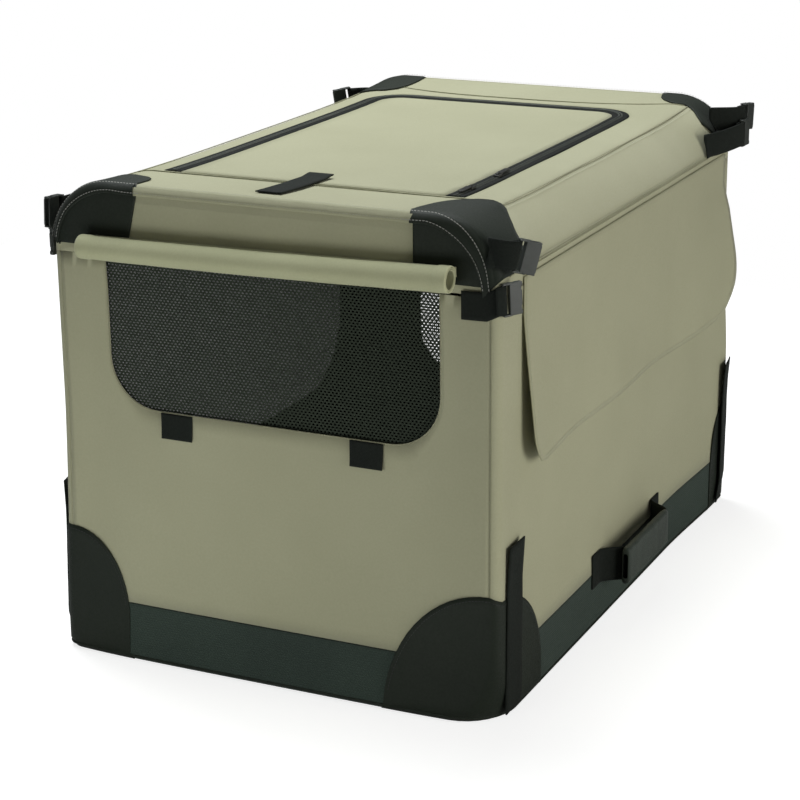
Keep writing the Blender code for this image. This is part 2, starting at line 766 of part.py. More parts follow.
def make_top_patches(mats):
    """Smooth patches over the four top corners of the cover."""
    for name, sx, sy in CORNERS:
        base = SKIRT_BOTTOM - OVERRUN
        patch = cover_shell("top_patch_" + name, GAP + PATCH_CLOTH, GAP, base, mats["dark_cloth"])
        edge = max(WIDTH, LENGTH)
        r = TOP_PATCH_ROUND
        x = WIDTH / 2 - (TOP_PATCH_WIDE_INSET if sx * sy < 0 else TOP_PATCH_NARROW_INSET)
        y = LENGTH / 2 - TOP_PATCH_END_INSET
        inner = arc(x + r, y + r, r, 180, 270, CORNER_STEPS)
        outline = [(x, edge)] + inner + [(edge, y), (edge, edge)]
        outline = mirror_path(outline, sx, sy)
        region = prism("region", outline, flat_z, TOP_PATCH_BOTTOM, HEIGHT + OVERRUN, mats["dark_cloth"])
        smooth(intersect(patch, region))


def sag_stations():
    """Places along the crate where the roof's fall changes, with the fall there."""
    flat = LENGTH / 2 - END_ROUND
    shares = [-1 + 2 * i / SAG_STEPS for i in range(SAG_STEPS + 1)]
    return [(share * flat, ROOF_SAG * (1 - share ** 4)) for share in shares]


def roof_height(y):
    """Height of the flat of the roof at a place along the crate."""
    stations = sag_stations()
    for (y0, fall0), (y1, fall1) in zip(stations, stations[1:]):
        if y0 <= y <= y1:
            return HEIGHT - fall0 - (fall1 - fall0) * (y - y0) / (y1 - y0)
    return HEIGHT


def roof_line(low, high):
    """Line along the roof between two places, with a point wherever the fall changes."""
    inside = [y for y, _ in sag_stations() if low < y < high]
    return [(y, roof_height(y)) for y in [low] + inside + [high]]


def slab_height(low, high):
    """Highest point of the roof under a piece that lies along it."""
    return max(z for _, z in roof_line(low, high))


def make_roof_sliders(mats):
    """Two sliders on the right run of the roof zip, each with its pull."""
    x = ROOF_DOOR_HALF - ROOF_ZIP_WIDTH / 2
    for name, y, way in (("roof_slider_front", -SLIDER_FRONT_Y, -1), ("roof_slider_rear", -SLIDER_REAR_Y, 1)):
        reach = SLIDER_LENGTH / 2 + PULL_LENGTH
        low = slab_height(y - reach, y + reach) + ZIP_RISE + GAP
        half_w = SLIDER_WIDTH / 2
        half_l = SLIDER_LENGTH / 2
        radius = half_w / 2
        body = rounded_outline(x - half_w, x + half_w, y - half_l, y + half_l, (radius,) * 4, 3)
        slider = prism(name, body, flat_z, low, low + SLIDER_HEIGHT, mats["metal"])
        near = y + way * half_l / 2
        ends = sorted((near, y + way * (half_l + PULL_LENGTH)))
        half_p = PULL_WIDTH / 2
        tab = rounded_outline(x - half_p, x + half_p, ends[0], ends[1], (half_p / 2,) * 4, 3)
        top = low + SLIDER_HEIGHT - PULL_THICK / 2
        union(slider, prism("pull", tab, flat_z, top - PULL_THICK, top, mats["metal"]))
        set_origin(slider, (x, y, low))


def make_roof_tab(mats):
    """Strap on the roof front that holds the rolled roof door."""
    width = ROOF_TAB_WIDTH
    centre = -ROOF_TAB_OFFSET
    line = roof_line(-ROOF_TAB_FRONT, -ROOF_TAB_REAR)
    path = [(y, z + GAP + WEB_THICK / 2) for y, z in line]
    strap = ribbon("roof_tab", path, WEB_THICK, centre - width / 2, centre + width / 2, flat_x, mats["webbing"])
    set_origin(strap, (centre, path[0][0], path[0][1]))


# Walls

def make_side_panel(name, side, window_half, window_bottom, mats):
    """Long wall that wraps the upright corners, with its window cut out."""
    half = CLOTH / 2
    edge = WIDTH / 2 - half
    end = LENGTH / 2 - half
    radius = END_ROUND - half
    front = arc(edge - radius, -end + radius, radius, -90, 0, CORNER_STEPS)
    rear = arc(edge - radius, end - radius, radius, 0, 90, CORNER_STEPS)
    path = mirror_path(front + rear, side, 1)
    low, high = BAND_HEIGHT + GAP, SKIRT_BOTTOM - GAP
    panel = ribbon(name, path, CLOTH, low, high, flat_z, mats["sage_cloth"])
    window = window_outline(window_half, window_bottom, WINDOW_TOP)
    low, high = sorted((side * (edge - OVERRUN), side * (edge + OVERRUN)))
    subtract(panel, prism("window", window, flat_x, low, high, mats["sage_cloth"]))
    smooth(panel)


def window_outline(half, bottom, top):
    """Window with square top corners and round bottom corners."""
    return rounded_outline(-half, half, bottom, top, (WINDOW_RADIUS, WINDOW_RADIUS, 0, 0))


def end_panel_outline():
    """Outline of an end wall between its upright seams."""
    half = WIDTH / 2 - END_ROUND - GAP
    return [(-half, BAND_HEIGHT + GAP), (half, BAND_HEIGHT + GAP),
            (half, SKIRT_BOTTOM - GAP), (-half, SKIRT_BOTTOM - GAP)]


def make_front_panel(mats):
    """Front wall with its window cut out."""
    outer, inner = -LENGTH / 2, -LENGTH / 2 + CLOTH
    panel = prism("front_panel", end_panel_outline(), flat_y, outer, inner, mats["sage_cloth"])
    window = window_outline(END_WINDOW_HALF, WINDOW_BOTTOM, WINDOW_TOP)
    subtract(panel, prism("window", window, flat_y, outer - OVERRUN, inner + OVERRUN, mats["sage_cloth"]))


def door_outline(inset, hinge_inset):
    """Outline of the rear door, with round corners on its opening side."""
    low_u = -DOOR_HALF_WIDTH + inset
    high_u = DOOR_HALF_WIDTH - hinge_inset
    radius = DOOR_RADIUS - inset
    return rounded_outline(low_u, high_u, DOOR_BOTTOM + inset, DOOR_TOP - inset, (radius, 0, 0, radius))


def make_rear_wall(mats):
    """Rear wall, its zipped door with a window, and the zip around three sides."""
    inner, outer = LENGTH / 2 - CLOTH, LENGTH / 2
    cut_low, cut_high = inner - OVERRUN, outer + OVERRUN
    panel = prism("rear_panel", end_panel_outline(), flat_y, inner, outer, mats["sage_cloth"])
    subtract(panel, prism("doorway", door_outline(-GAP, -GAP), flat_y, cut_low, cut_high, mats["sage_cloth"]))
    zip_band = prism("rear_door_zip", door_outline(0, 0), flat_y, inner, outer + ZIP_RISE, mats["zip"])
    leaf_hole = door_outline(DOOR_ZIP_WIDTH, -OVERRUN)
    subtract(zip_band, prism("leaf_hole", leaf_hole, flat_y, cut_low, cut_high, mats["zip"]))
    door = prism("rear_door", door_outline(DOOR_ZIP_WIDTH + GAP, 0), flat_y, inner, outer, mats["sage_cloth"])
    window = window_outline(REAR_WINDOW_HALF, LOW_WINDOW_BOTTOM, REAR_WINDOW_TOP)
    subtract(door, prism("window", window, flat_y, cut_low, cut_high, mats["sage_cloth"]))
    set_origin(door, (DOOR_HALF_WIDTH, outer, DOOR_BOTTOM))


def mesh_outline(half, bottom, top):
    """Outline of a mesh sheet behind a window, wider all round by the margin of its seam."""
    return window_outline(half + MESH_MARGIN, bottom - MESH_MARGIN, top)


def make_meshes(mats):
    """A sheet of mesh behind each window."""
    high = SKIRT_BOTTOM - GAP
    back = CLOTH + GAP
    sides = (("left_mesh", -1, LEFT_WINDOW_HALF, LOW_WINDOW_BOTTOM), ("right_mesh", 1, SIDE_WINDOW_HALF, WINDOW_BOTTOM))
    for name, side, half, bottom in sides:
        ends = sorted((side * (WIDTH / 2 - back), side * (WIDTH / 2 - back - MESH_THICK)))
        prism(name, mesh_outline(half, bottom, high), flat_x, ends[0], ends[1], mats["mesh"])
    mesh_y = LENGTH / 2 - back
    outline = mesh_outline(REAR_WINDOW_HALF, LOW_WINDOW_BOTTOM, REAR_WINDOW_TOP + MESH_MARGIN)
    rear = prism("rear_mesh", outline, flat_y, mesh_y - MESH_THICK, mesh_y, mats["mesh"])
    set_origin(rear, (DOOR_HALF_WIDTH, LENGTH / 2, DOOR_BOTTOM))
    outline = mesh_outline(END_WINDOW_HALF, WINDOW_BOTTOM, high)
    prism("front_mesh", outline, flat_y, -mesh_y, -mesh_y + MESH_THICK, mats["mesh"])


def make_front_tabs(mats):
    """Two hook tabs on the front wall that hold the blind when it is down."""
    outer = -LENGTH / 2 - GAP - WEB_THICK
    for name, side in (("front_tab_left", -1), ("front_tab_right", 1)):
        centre = side * FRONT_TAB_X
        half = FRONT_TAB_WIDTH / 2
        outline = rounded_outline(centre - half, centre + half, FRONT_TAB_BOTTOM, FRONT_TAB_TOP, (WEB_THICK,) * 4, 2)
        prism(name, outline, flat_y, outer, outer + WEB_THICK, mats["webbing"])


# Blinds

def roll_path(centre_u, centre_v, side):
    """Spiral of a rolled blind, from the seam above it to its core.

    The side is where the roll stands off: -1 for outward along -u, 1 for outward along +u.
    """
    steps = round(ROLL_TURNS * ROLL_STEPS)
    path = []
    outer = ROLL_RADIUS - CLOTH / 2
    for i in range(steps + 1):
        share = i / steps
        angle = pi - 2 * pi * ROLL_TURNS * share
        radius = outer + (ROLL_CORE - outer) * share
        path.append((centre_u + side * radius * cos(angle), centre_v - radius * sin(angle)))
    seam = (path[0][0], centre_v + ROLL_RADIUS + ROLL_NECK)
    lead = (path[0][0], centre_v + ROLL_RADIUS / 2)
    return [seam, lead] + path


def make_rolled_blinds(mats):
    """Three blinds rolled up above their windows, open at both ends."""
    stand = GAP + PATCH_CLOTH + GAP + ROLL_RADIUS
    for name, end in (("front_blind", -1), ("rear_blind", 1)):
        y = end * (LENGTH / 2 + stand)
        path = roll_path(y, END_ROLL_HEIGHT, end)
        roll = ribbon(name, path, CLOTH, -END_ROLL_HALF, END_ROLL_HALF, flat_x, mats["sage_cloth"])
        set_origin(smooth(roll), (0, path[0][0], path[0][1]))
    x = -(WIDTH / 2 + stand)
    path = roll_path(x, SIDE_ROLL_HEIGHT, -1)
    roll = ribbon("left_blind", path, CLOTH, -SIDE_ROLL_HALF, SIDE_ROLL_HALF, flat_y, mats["sage_cloth"])
    set_origin(smooth(roll), (path[0][0], 0, path[0][1]))


def flap_stand(share, z):
    """How far the hanging blind stands off the wall, from -1 at its front edge to 1 at its rear edge."""
    fall = max(0.0, (FLAP_TOP - FLAP_STRAIGHT - z) / (FLAP_TOP - FLAP_STRAIGHT - FLAP_BOTTOM))
    folds = (1 + cos(pi * (FLAP_FOLDS * share + FLAP_FOLD_SHIFT))) / 2
    stand = FLAP_REAR_STAND if share > 0 else FLAP_FRONT_STAND
    lift = stand * share ** 2 + FLAP_WAVE * folds
    return GAP + lift * fall ** FLAP_FALL_POWER


def flap_edge(reach, radius, z):
    """How far an edge of the hanging blind lies from the middle at a height, with its round lower corner."""
    short = max(0.0, FLAP_BOTTOM + radius - z)
    return reach - radius + sqrt(max(0.0, radius ** 2 - short ** 2))


def make_right_blind(mats):
    """Blind that hangs free over the right window, with round lower corners and soft folds."""
    columns, rows = FLAP_COLUMNS, FLAP_ROWS
    layers = ([], [])
    for j in range(rows + 1):
        z = FLAP_TOP - (FLAP_TOP - FLAP_BOTTOM) * j / rows
        front = -flap_edge(FLAP_FRONT, FLAP_FRONT_RADIUS, z)
        rear = flap_edge(FLAP_REAR, FLAP_REAR_RADIUS, z)
        for i in range(columns + 1):
            share = i / columns
            y = front + (rear - front) * share
            x = WIDTH / 2 + flap_stand(2 * share - 1, z)
            layers[0].append((x, y, z))
            layers[1].append((x + CLOTH, y, z))
    verts = layers[0] + layers[1]
    width = columns + 1
    count = len(layers[0])
    faces = []
    for j in range(rows):
        for i in range(columns):
            a = j * width + i
            faces.append((a, a + 1, a + width + 1, a + width))
            faces.append((a + count, a + width + count, a + width + 1 + count, a + 1 + count))
    rim = [i for i in range(columns)]
    rim += [columns + j * width for j in range(rows)]
    rim += [rows * width + i for i in range(columns, 0, -1)]
    rim += [j * width for j in range(rows, 0, -1)]
    for k in range(len(rim)):
        a, b = rim[k], rim[(k + 1) % len(rim)]
        faces.append((b, a, a + count, b + count))
    flap = mesh_object("right_blind", verts, faces, mats["sage_cloth"])
    set_origin(smooth(flap, 50), (WIDTH / 2 + GAP, 0, FLAP_TOP))


# Handle

def handle_path():
    """Plan of the handle strap: sewn end, rise, straight, fall, sewn end."""
    base = WIDTH / 2 + GAP + WEB_THICK / 2
    steps = 6
    rise = []
    start = HANDLE_HALF_SPAN - HANDLE_SEWN
    for i in range(steps + 1):
        share = i / steps
        lift = (1 - cos(pi * share)) / 2
        rise.append((base + HANDLE_STAND * lift, -start + HANDLE_RISE_LENGTH * share))
    half = [(base, -HANDLE_HALF_SPAN)] + rise
    path = half + mirror_path(half, 1, -1)[::-1]
    return [(x, y + HANDLE_CENTRE_Y) for x, y in path]


def make_handle(mats):
    """Carry handle: a webbing strap standing off the band, with a padded grip around it."""
    top = HANDLE_STRAP_BOTTOM + HANDLE_STRAP_HEIGHT
    ribbon("handle_strap", handle_path(), WEB_THICK, HANDLE_STRAP_BOTTOM, top, flat_z, mats["webbing"])
    x = WIDTH / 2 + GAP + WEB_THICK / 2 + HANDLE_STAND
    z = HANDLE_STRAP_BOTTOM + HANDLE_STRAP_HEIGHT / 2
    outer = rounded_outline(x - GRIP_THICK / 2, x + GRIP_THICK / 2, z - GRIP_HEIGHT / 2, z + GRIP_HEIGHT / 2,
                            (GRIP_ROUND,) * 4, 3)
    slot_x = WEB_THICK / 2 + GRIP_CLEARANCE
    slot_z = HANDLE_STRAP_HEIGHT / 2 + GRIP_CLEARANCE
    inner = rounded_outline(x - slot_x, x + slot_x, z - slot_z, z + slot_z, (GRIP_CLEARANCE,) * 4, 3)
    low, high = HANDLE_CENTRE_Y - GRIP_HALF_LENGTH, HANDLE_CENTRE_Y + GRIP_HALF_LENGTH
    rings = [[flat_y(u, v, low) for u, v in outer], [flat_y(u, v, high) for u, v in outer],
             [flat_y(u, v, high) for u, v in inner], [flat_y(u, v, low) for u, v in inner]]
    grip = smooth(loft("handle_grip", rings, mats["grip"], closed=True))
    set_origin(grip, (WIDTH / 2, HANDLE_CENTRE_Y, z))


# Corner straps and buckles

def route(root, start, end, length, straight=0.0):
    """Plan of a strap that runs straight, then turns steadily from one heading to another."""
    u, v = root
    path = [(u, v)]
    if straight:
        u += straight * cos(radians(start))
        v += straight * sin(radians(start))
        path.append((u, v))
    step = length / ROUTE_STEPS
    for i in range(ROUTE_STEPS):
        heading = radians(start + (end - start) * (i + 0.5) / ROUTE_STEPS)
        u += step * cos(heading)
        v += step * sin(heading)
        path.append((u, v))
    return path


def looped(path, end, hand):
    """Add the turn of a strap around its buckle bar and the tail beside it."""
    turn = BAR_LOOP_RADIUS
    heading = radians(end)
    u, v = path[-1]
    side = (-sin(heading) * hand, cos(heading) * hand)
    ahead = (cos(heading), sin(heading))
    centre = (u + side[0] * turn, v + side[1] * turn)
    loop = []
    for i in range(1, LOOP_STEPS + 1):
        angle = pi * i / LOOP_STEPS
        across = -turn * cos(angle)
        along = turn * sin(angle)
        loop.append((centre[0] + side[0] * across + ahead[0] * along, centre[1] + side[1] * across + ahead[1] * along))
    last = loop[-1]
    tail = (last[0] - ahead[0] * LOOP_TAIL, last[1] - ahead[1] * LOOP_TAIL)
    return path + loop + [tail], centre


def corner_straps():
    """The eight corner straps: name, level, sign of the half turn that places each, and its run."""
    return (
        ("front_right", "upper", 1, END_UPPER),
        ("front_right", "lower", 1, END_LOWER),
        ("rear_left", "upper", -1, END_UPPER),
        ("rear_left", "lower", -1, END_LOWER),
        ("rear_right", "upper", 1, REAR_RIGHT_UPPER),
        ("rear_right", "lower", 1, REAR_RIGHT_LOWER),
        ("front_left", "upper", -1, FRONT_LEFT_UPPER),
        ("front_left", "lower", -1, FRONT_LEFT_LOWER),
    )


def make_corner_straps(mats):
    """Webbing straps at the top corners, each looped through its half of a buckle."""
    for name, level, turn, run in corner_straps():
        drop, inset_x, inset_y, which_end, start, end, length, straight, hand = run
        z = HEIGHT - drop
        root_x = WIDTH / 2 - inset_x
        root_y = which_end * (LENGTH / 2 - inset_y)
        path, bar = looped(route((root_x, root_y), start, end, length, straight), end, hand)
        path = mirror_path(path, turn, turn)
        low, high = z - STRAP_WIDTH / 2, z + STRAP_WIDTH / 2
        strap = ribbon(name + "_" + level + "_strap", path, WEB_THICK, low, high, flat_z, mats["webbing"])
        if straight == 0:
            clear = GAP + PATCH_CLOTH + GAP
            subtract(strap, cover_solid("body", clear, SKIRT_BOTTOM - OVERRUN, mats["webbing"]))
        set_origin(strap, (turn * root_x, turn * root_y, z))
        heading = end if turn > 0 else end + 180
        centre = (bar[0] * turn, bar[1] * turn)
        buckle = make_female(mats) if level == "upper" else make_male(mats)
        buckle.name = name + "_" + level + "_buckle"
        place_buckle(buckle, centre, heading, z)
        set_origin(buckle, (turn * root_x, turn * root_y, z))


def place_buckle(buckle, centre, heading, z):
    """Turn a buckle half to its heading and set its bar at the centre of the strap's loop."""
    ahead = Vector((cos(radians(heading)), sin(radians(heading)), 0))
    side = Vector((-ahead.y, ahead.x, 0))
    for vertex in buckle.data.vertices:
        local = vertex.co.copy()
        vertex.co = ahead * local.x + side * local.y + Vector((centre[0], centre[1], z + local.z))


def buckle_blank(name, outline, thick, mat):
    """Flat blank of a buckle half in its own frame: X outward, Y through it, Z along its bar."""
    return prism(name, outline, flat_y, -thick / 2, thick / 2, mat)


def cut_bar(blank, mat):
    """Open the slot in front of the bar and thin the bar so that webbing fits around it."""
    half = BUCKLE_HEIGHT / 2 - BUCKLE_CHEEK
    start = BUCKLE_BAR / 2
    slot = rounded_outline(start, start + BUCKLE_SLOT, -half, half, (0, 0, 0, 0))
    subtract(blank, prism("slot", slot, flat_y, -OVERRUN, OVERRUN, mat))
    edge = -BUCKLE_BAR / 2 - OVERRUN
    pocket = rounded_outline(edge, start + GAP, -half, half, (0, 0, 0, 0))
    for side in (-1, 1):
        low, high = sorted((side * BAR_THICK / 2, side * OVERRUN))
        subtract(blank, prism("pocket", pocket, flat_y, low, high, mat))
    return blank


def make_female(mats):
    """Female half: a flat box with a mouth at its end and a window in each side."""
    start = -BUCKLE_BAR / 2
    half = BUCKLE_HEIGHT / 2
    outline = rounded_outline(start, start + BUCKLE_LENGTH, -half, half, (BUCKLE_ROUND,) * 4, 3)
    body = buckle_blank("female", outline, BUCKLE_THICK, mats["plastic"])
    cut_bar(body, mats["plastic"])
    mouth_start = BUCKLE_BAR / 2 + BUCKLE_SLOT + BUCKLE_CHEEK
    wall = BUCKLE_CHEEK
    depth = BUCKLE_THICK / 2 - wall
    mouth = rounded_outline(mouth_start, start + BUCKLE_LENGTH + OVERRUN, -half + wall, half - wall, (0, 0, 0, 0))
    subtract(body, prism("mouth", mouth, flat_y, -depth, depth, mats["plastic"]))
    side_start = mouth_start + BUCKLE_ROUND
    side_end = start + BUCKLE_LENGTH - BUCKLE_ROUND
    sides = rounded_outline(side_start, side_end, -half - OVERRUN, half + OVERRUN, (0, 0, 0, 0))
    subtract(body, prism("sides", sides, flat_y, -depth, depth, mats["plastic"]))
    return body


def make_male(mats):
    """Male half: a plate with its bar, a middle tongue and two spring arms with release pads."""
    start = -BUCKLE_BAR / 2
    half = BUCKLE_HEIGHT / 2
    plate_end = BUCKLE_BAR / 2 + BUCKLE_SLOT + BUCKLE_CHEEK
    tip = plate_end + PRONG_LENGTH
    inner = half - PRONG_WIDTH
    tongue = inner - PRONG_GAP
    swell = PRONG_WIDTH / 3
    neck = plate_end + PRONG_LENGTH / 3
    half_side = [
        (start, half - BUCKLE_CHEEK), (start + BUCKLE_CHEEK, half), (plate_end, half),
        (neck, half - swell), (tip - swell * 2, half), (tip, half - swell), (tip, inner),
        (tip - swell * 2, inner), (plate_end + swell, inner - swell), (plate_end + swell, tongue),
        (tip - swell, tongue), (tip, tongue - swell),
    ]
    outline = half_side + mirror_path(half_side, 1, -1)[::-1]
    body = buckle_blank("male", outline[::-1], PRONG_THICK, mats["plastic"])
    return cut_bar(body, mats["plastic"])


def make_materials():
    """All finishes of the model."""
    return {
        "sage_cloth": make_material("sage_cloth", (0.40, 0.41, 0.29), 0.9),
        "dark_cloth": make_material("dark_cloth", (0.022, 0.028, 0.026), 0.8),
        "band": make_material("woven_band", (0.018, 0.030, 0.026), 0.85),
        "webbing": make_material("webbing", (0.014, 0.016, 0.016), 0.8),
        "mesh": make_material("window_mesh", (0.012, 0.013, 0.013), 0.8),
        "mat": make_material("floor_mat", (0.030, 0.034, 0.032), 0.95),
        "grip": make_material("grip_cloth", (0.040, 0.050, 0.046), 0.7),
        "zip": make_material("zip_tape", (0.010, 0.010, 0.010), 0.6),
        "plastic": make_material("buckle_plastic", (0.012, 0.012, 0.013), 0.4),
        "metal": make_material("zip_slider", (0.020, 0.020, 0.020), 0.35, 0.6),
        "steel": make_material("frame_tube", (0.030, 0.030, 0.032), 0.45, 0.4),
    }


def main():
    """Build every piece of the crate."""
    clear_scene()
    mats = make_materials()
    make_base_tray(mats)
    make_base_frame(mats)
    make_end_frame("front_end_frame", -1, FRONT_PIVOT_HEIGHT, FRONT_FRAME_REACH, mats)
    make_end_frame("rear_end_frame", 1, REAR_PIVOT_HEIGHT, REAR_FRAME_REACH, mats)
    make_floor_mat(mats)
    make_base_patches(mats)
    make_hook_straps(mats)
    make_roof_frame(mats)
    make_roof_cover(mats)
    make_top_patches(mats)
    make_roof_sliders(mats)
    make_roof_tab(mats)
    make_side_panel("left_panel", -1, LEFT_WINDOW_HALF, LOW_WINDOW_BOTTOM, mats)
    make_side_panel("right_panel", 1, SIDE_WINDOW_HALF, WINDOW_BOTTOM, mats)
    make_front_panel(mats)
    make_rear_wall(mats)
    make_meshes(mats)
    make_front_tabs(mats)
    make_rolled_blinds(mats)
    make_right_blind(mats)
    make_handle(mats)
    make_corner_straps(mats)


main()
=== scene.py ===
"""Looks of a soft folding dog crate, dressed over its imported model.

Metres, +Z up. The front end faces -Y and the long side with the carry handle faces +X. Each class after
BodyForm is one sub-assembly, with its sizes as fields.
"""
import logging
from dataclasses import dataclass, field
from enum import Enum
from math import acos, cos, hypot, pi, radians, sin, sqrt
from typing import Callable, Sequence

import bmesh
import bpy
from mathutils import Matrix, Vector, noise


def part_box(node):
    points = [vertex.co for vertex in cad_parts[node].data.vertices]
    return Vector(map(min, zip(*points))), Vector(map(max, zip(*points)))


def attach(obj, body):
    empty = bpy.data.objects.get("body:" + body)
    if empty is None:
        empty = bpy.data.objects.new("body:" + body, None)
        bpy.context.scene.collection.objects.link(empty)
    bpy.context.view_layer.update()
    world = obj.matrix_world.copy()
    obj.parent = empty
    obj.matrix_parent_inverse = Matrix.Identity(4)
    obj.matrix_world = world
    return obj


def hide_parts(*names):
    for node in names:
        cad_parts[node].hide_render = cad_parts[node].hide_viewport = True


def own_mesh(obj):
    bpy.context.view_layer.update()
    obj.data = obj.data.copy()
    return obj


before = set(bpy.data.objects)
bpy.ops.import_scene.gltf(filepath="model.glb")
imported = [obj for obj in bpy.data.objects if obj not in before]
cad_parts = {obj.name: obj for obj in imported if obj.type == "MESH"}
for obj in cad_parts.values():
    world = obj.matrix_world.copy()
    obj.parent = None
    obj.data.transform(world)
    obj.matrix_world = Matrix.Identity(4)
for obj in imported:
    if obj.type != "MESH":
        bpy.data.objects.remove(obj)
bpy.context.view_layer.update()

log = logging.getLogger("crate")

Point = tuple[float, float, float]
Flat = tuple[float, float]
Colour = tuple[float, float, float]
Row = list[tuple[Vector, Flat]]
Line = list[tuple[Vector, Vector]]
Place = Callable[[float, float, float], Vector]
Piece, Material = bpy.types.Object, bpy.types.Material
Default = tuple[str, float]
Node, Socket, Tree = bpy.types.Node, bpy.types.NodeSocket, bpy.types.NodeTree


# Names used again and again


class Corner(Enum):
    """The four upright corners, as name, side and end."""

    FRONT_LEFT = ("front_left", -1, -1)
    FRONT_RIGHT = ("front_right", 1, -1)
    REAR_LEFT = ("rear_left", -1, 1)
    REAR_RIGHT = ("rear_right", 1, 1)

    @property
    def label(self) -> str:
        """Name used in the model's nodes."""
        return self.value[0]

    @property
    def side(self) -> int:
        """1 on the right, -1 on the left."""
        return self.value[1]

    @property
    def end(self) -> int:
        """1 at the rear, -1 at the front."""
        return self.value[2]


class Level(Enum):
    """The two straps of a corner."""

    UPPER = "upper"
    LOWER = "lower"


# Small maths


def smoothstep(value: float) -> float:
    """Ease a share from 0 to 1.

    Args:
        value: Share, cut to 0 and 1.

    Returns:
        The eased share.
    """
    share = min(1.0, max(0.0, value))
    return share * share * (3 - 2 * share)


def ripple(point: Vector, size: float, seed: float = 0.0) -> float:
    """Soft noise between about -1 and 1 that changes over a size.

    Args:
        point: Place in metres.
        size: Distance over which the noise changes.
        seed: Shift that gives another pattern.

    Returns:
        The noise value.
    """
    return noise.noise(point / size + Vector((seed, seed * 1.7, -seed)))


def spread(low: float, high: float, steps: int) -> list[float]:
    """Evenly spaced numbers, both ends included.

    Args:
        low: First number.
        high: Last number.
        steps: Number of gaps between them.

    Returns:
        The numbers.
    """
    return [low + (high - low) * i / steps for i in range(steps + 1)]


def arc(u: float, v: float, radius: float, start: float, end: float, steps: int) -> list[Flat]:
    """Points of an arc, angles in degrees.

    Args:
        u: Centre along the first axis.
        v: Centre along the second axis.
        radius: Radius of the arc.
        start: First angle.
        end: Last angle.
        steps: Number of chords.

    Returns:
        The points in order.
    """
    turns = [radians(a) for a in spread(start, end, steps)]
    return [(u + radius * cos(a), v + radius * sin(a)) for a in turns]


def between(a: Flat, b: Flat, share: float) -> Flat:
    """Place at a share of the way from one flat place to another."""
    return a[0] + (b[0] - a[0]) * share, a[1] + (b[1] - a[1]) * share


def steps_between(a: Flat, b: Flat, steps: int) -> list[Flat]:
    """Places in even steps from one flat place towards another, without the last."""
    return [(a[0] + (b[0] - a[0]) * k / steps, a[1] + (b[1] - a[1]) * k / steps) for k in range(steps)]


def rounded_outline(low: Flat, high: Flat, radii: Sequence[float], steps: int = 8) -> list[Flat]:
    """Outline of a rectangle with its own radius at each corner.

    Args:
        low: Lower left corner.
        high: Upper right corner.
        radii: Radii at low-low, high-low, high-high and low-high.
        steps: Chords per corner.

    Returns:
        The outline, counterclockwise.
    """
    corners = ((low[0], low[1], 1, 1, 180), (high[0], low[1], -1, 1, 270),
               (high[0], high[1], -1, -1, 0), (low[0], high[1], 1, -1, 90))
    points: list[Flat] = []
    for (u, v, du, dv, start), radius in zip(corners, radii):
        if radius <= 0:
            points.append((u, v))
        else:
            points += arc(u + du * radius, v + dv * radius, radius, start, start + 90, steps)
    return points


def nearest(point: Flat, outline: Sequence[Flat]) -> Flat:
    """Closest place on a closed outline.

    Args:
        point: Place to look from.
        outline: Corners of the outline.

    Returns:
        The closest point.
    """
    best, found = 1e9, outline[0]
    for i, a in enumerate(outline):
        b = outline[(i + 1) % len(outline)]
        du, dv = b[0] - a[0], b[1] - a[1]
        length = du * du + dv * dv
        share = 0.0 if length == 0 else ((point[0] - a[0]) * du + (point[1] - a[1]) * dv) / length
        share = min(1.0, max(0.0, share))
        spot = between(a, b, share)
        gap = hypot(point[0] - spot[0], point[1] - spot[1])
        if gap < best:
            best, found = gap, spot
    return found


def resample(path: Sequence[Vector], pitch: float) -> list[Vector]:
    """Walk a path at an even pitch.

    Args:
        path: Corners of the path.
        pitch: Distance between the new points.

    Returns:
        The new points.
    """
    total = sum((b - a).length for a, b in zip(path, path[1:]))
    count = max(2, round(total / pitch))
    step = total / count
    points = [path[0].copy()]
    walked, goal = 0.0, step
    for a, b in zip(path, path[1:]):
        length = (b - a).length
        while length > 0 and goal <= walked + length + 1e-9 and len(points) <= count:
            points.append(a.lerp(b, (goal - walked) / length))
            goal += step
        walked += length
    return points


# Mesh pieces


def add_object(name: str, data: bpy.types.ID) -> Piece:
    """Add an object that holds a mesh, lamp or camera to the scene."""
    made = bpy.data.objects.new(name, data)
    bpy.context.scene.collection.objects.link(made)
    return made


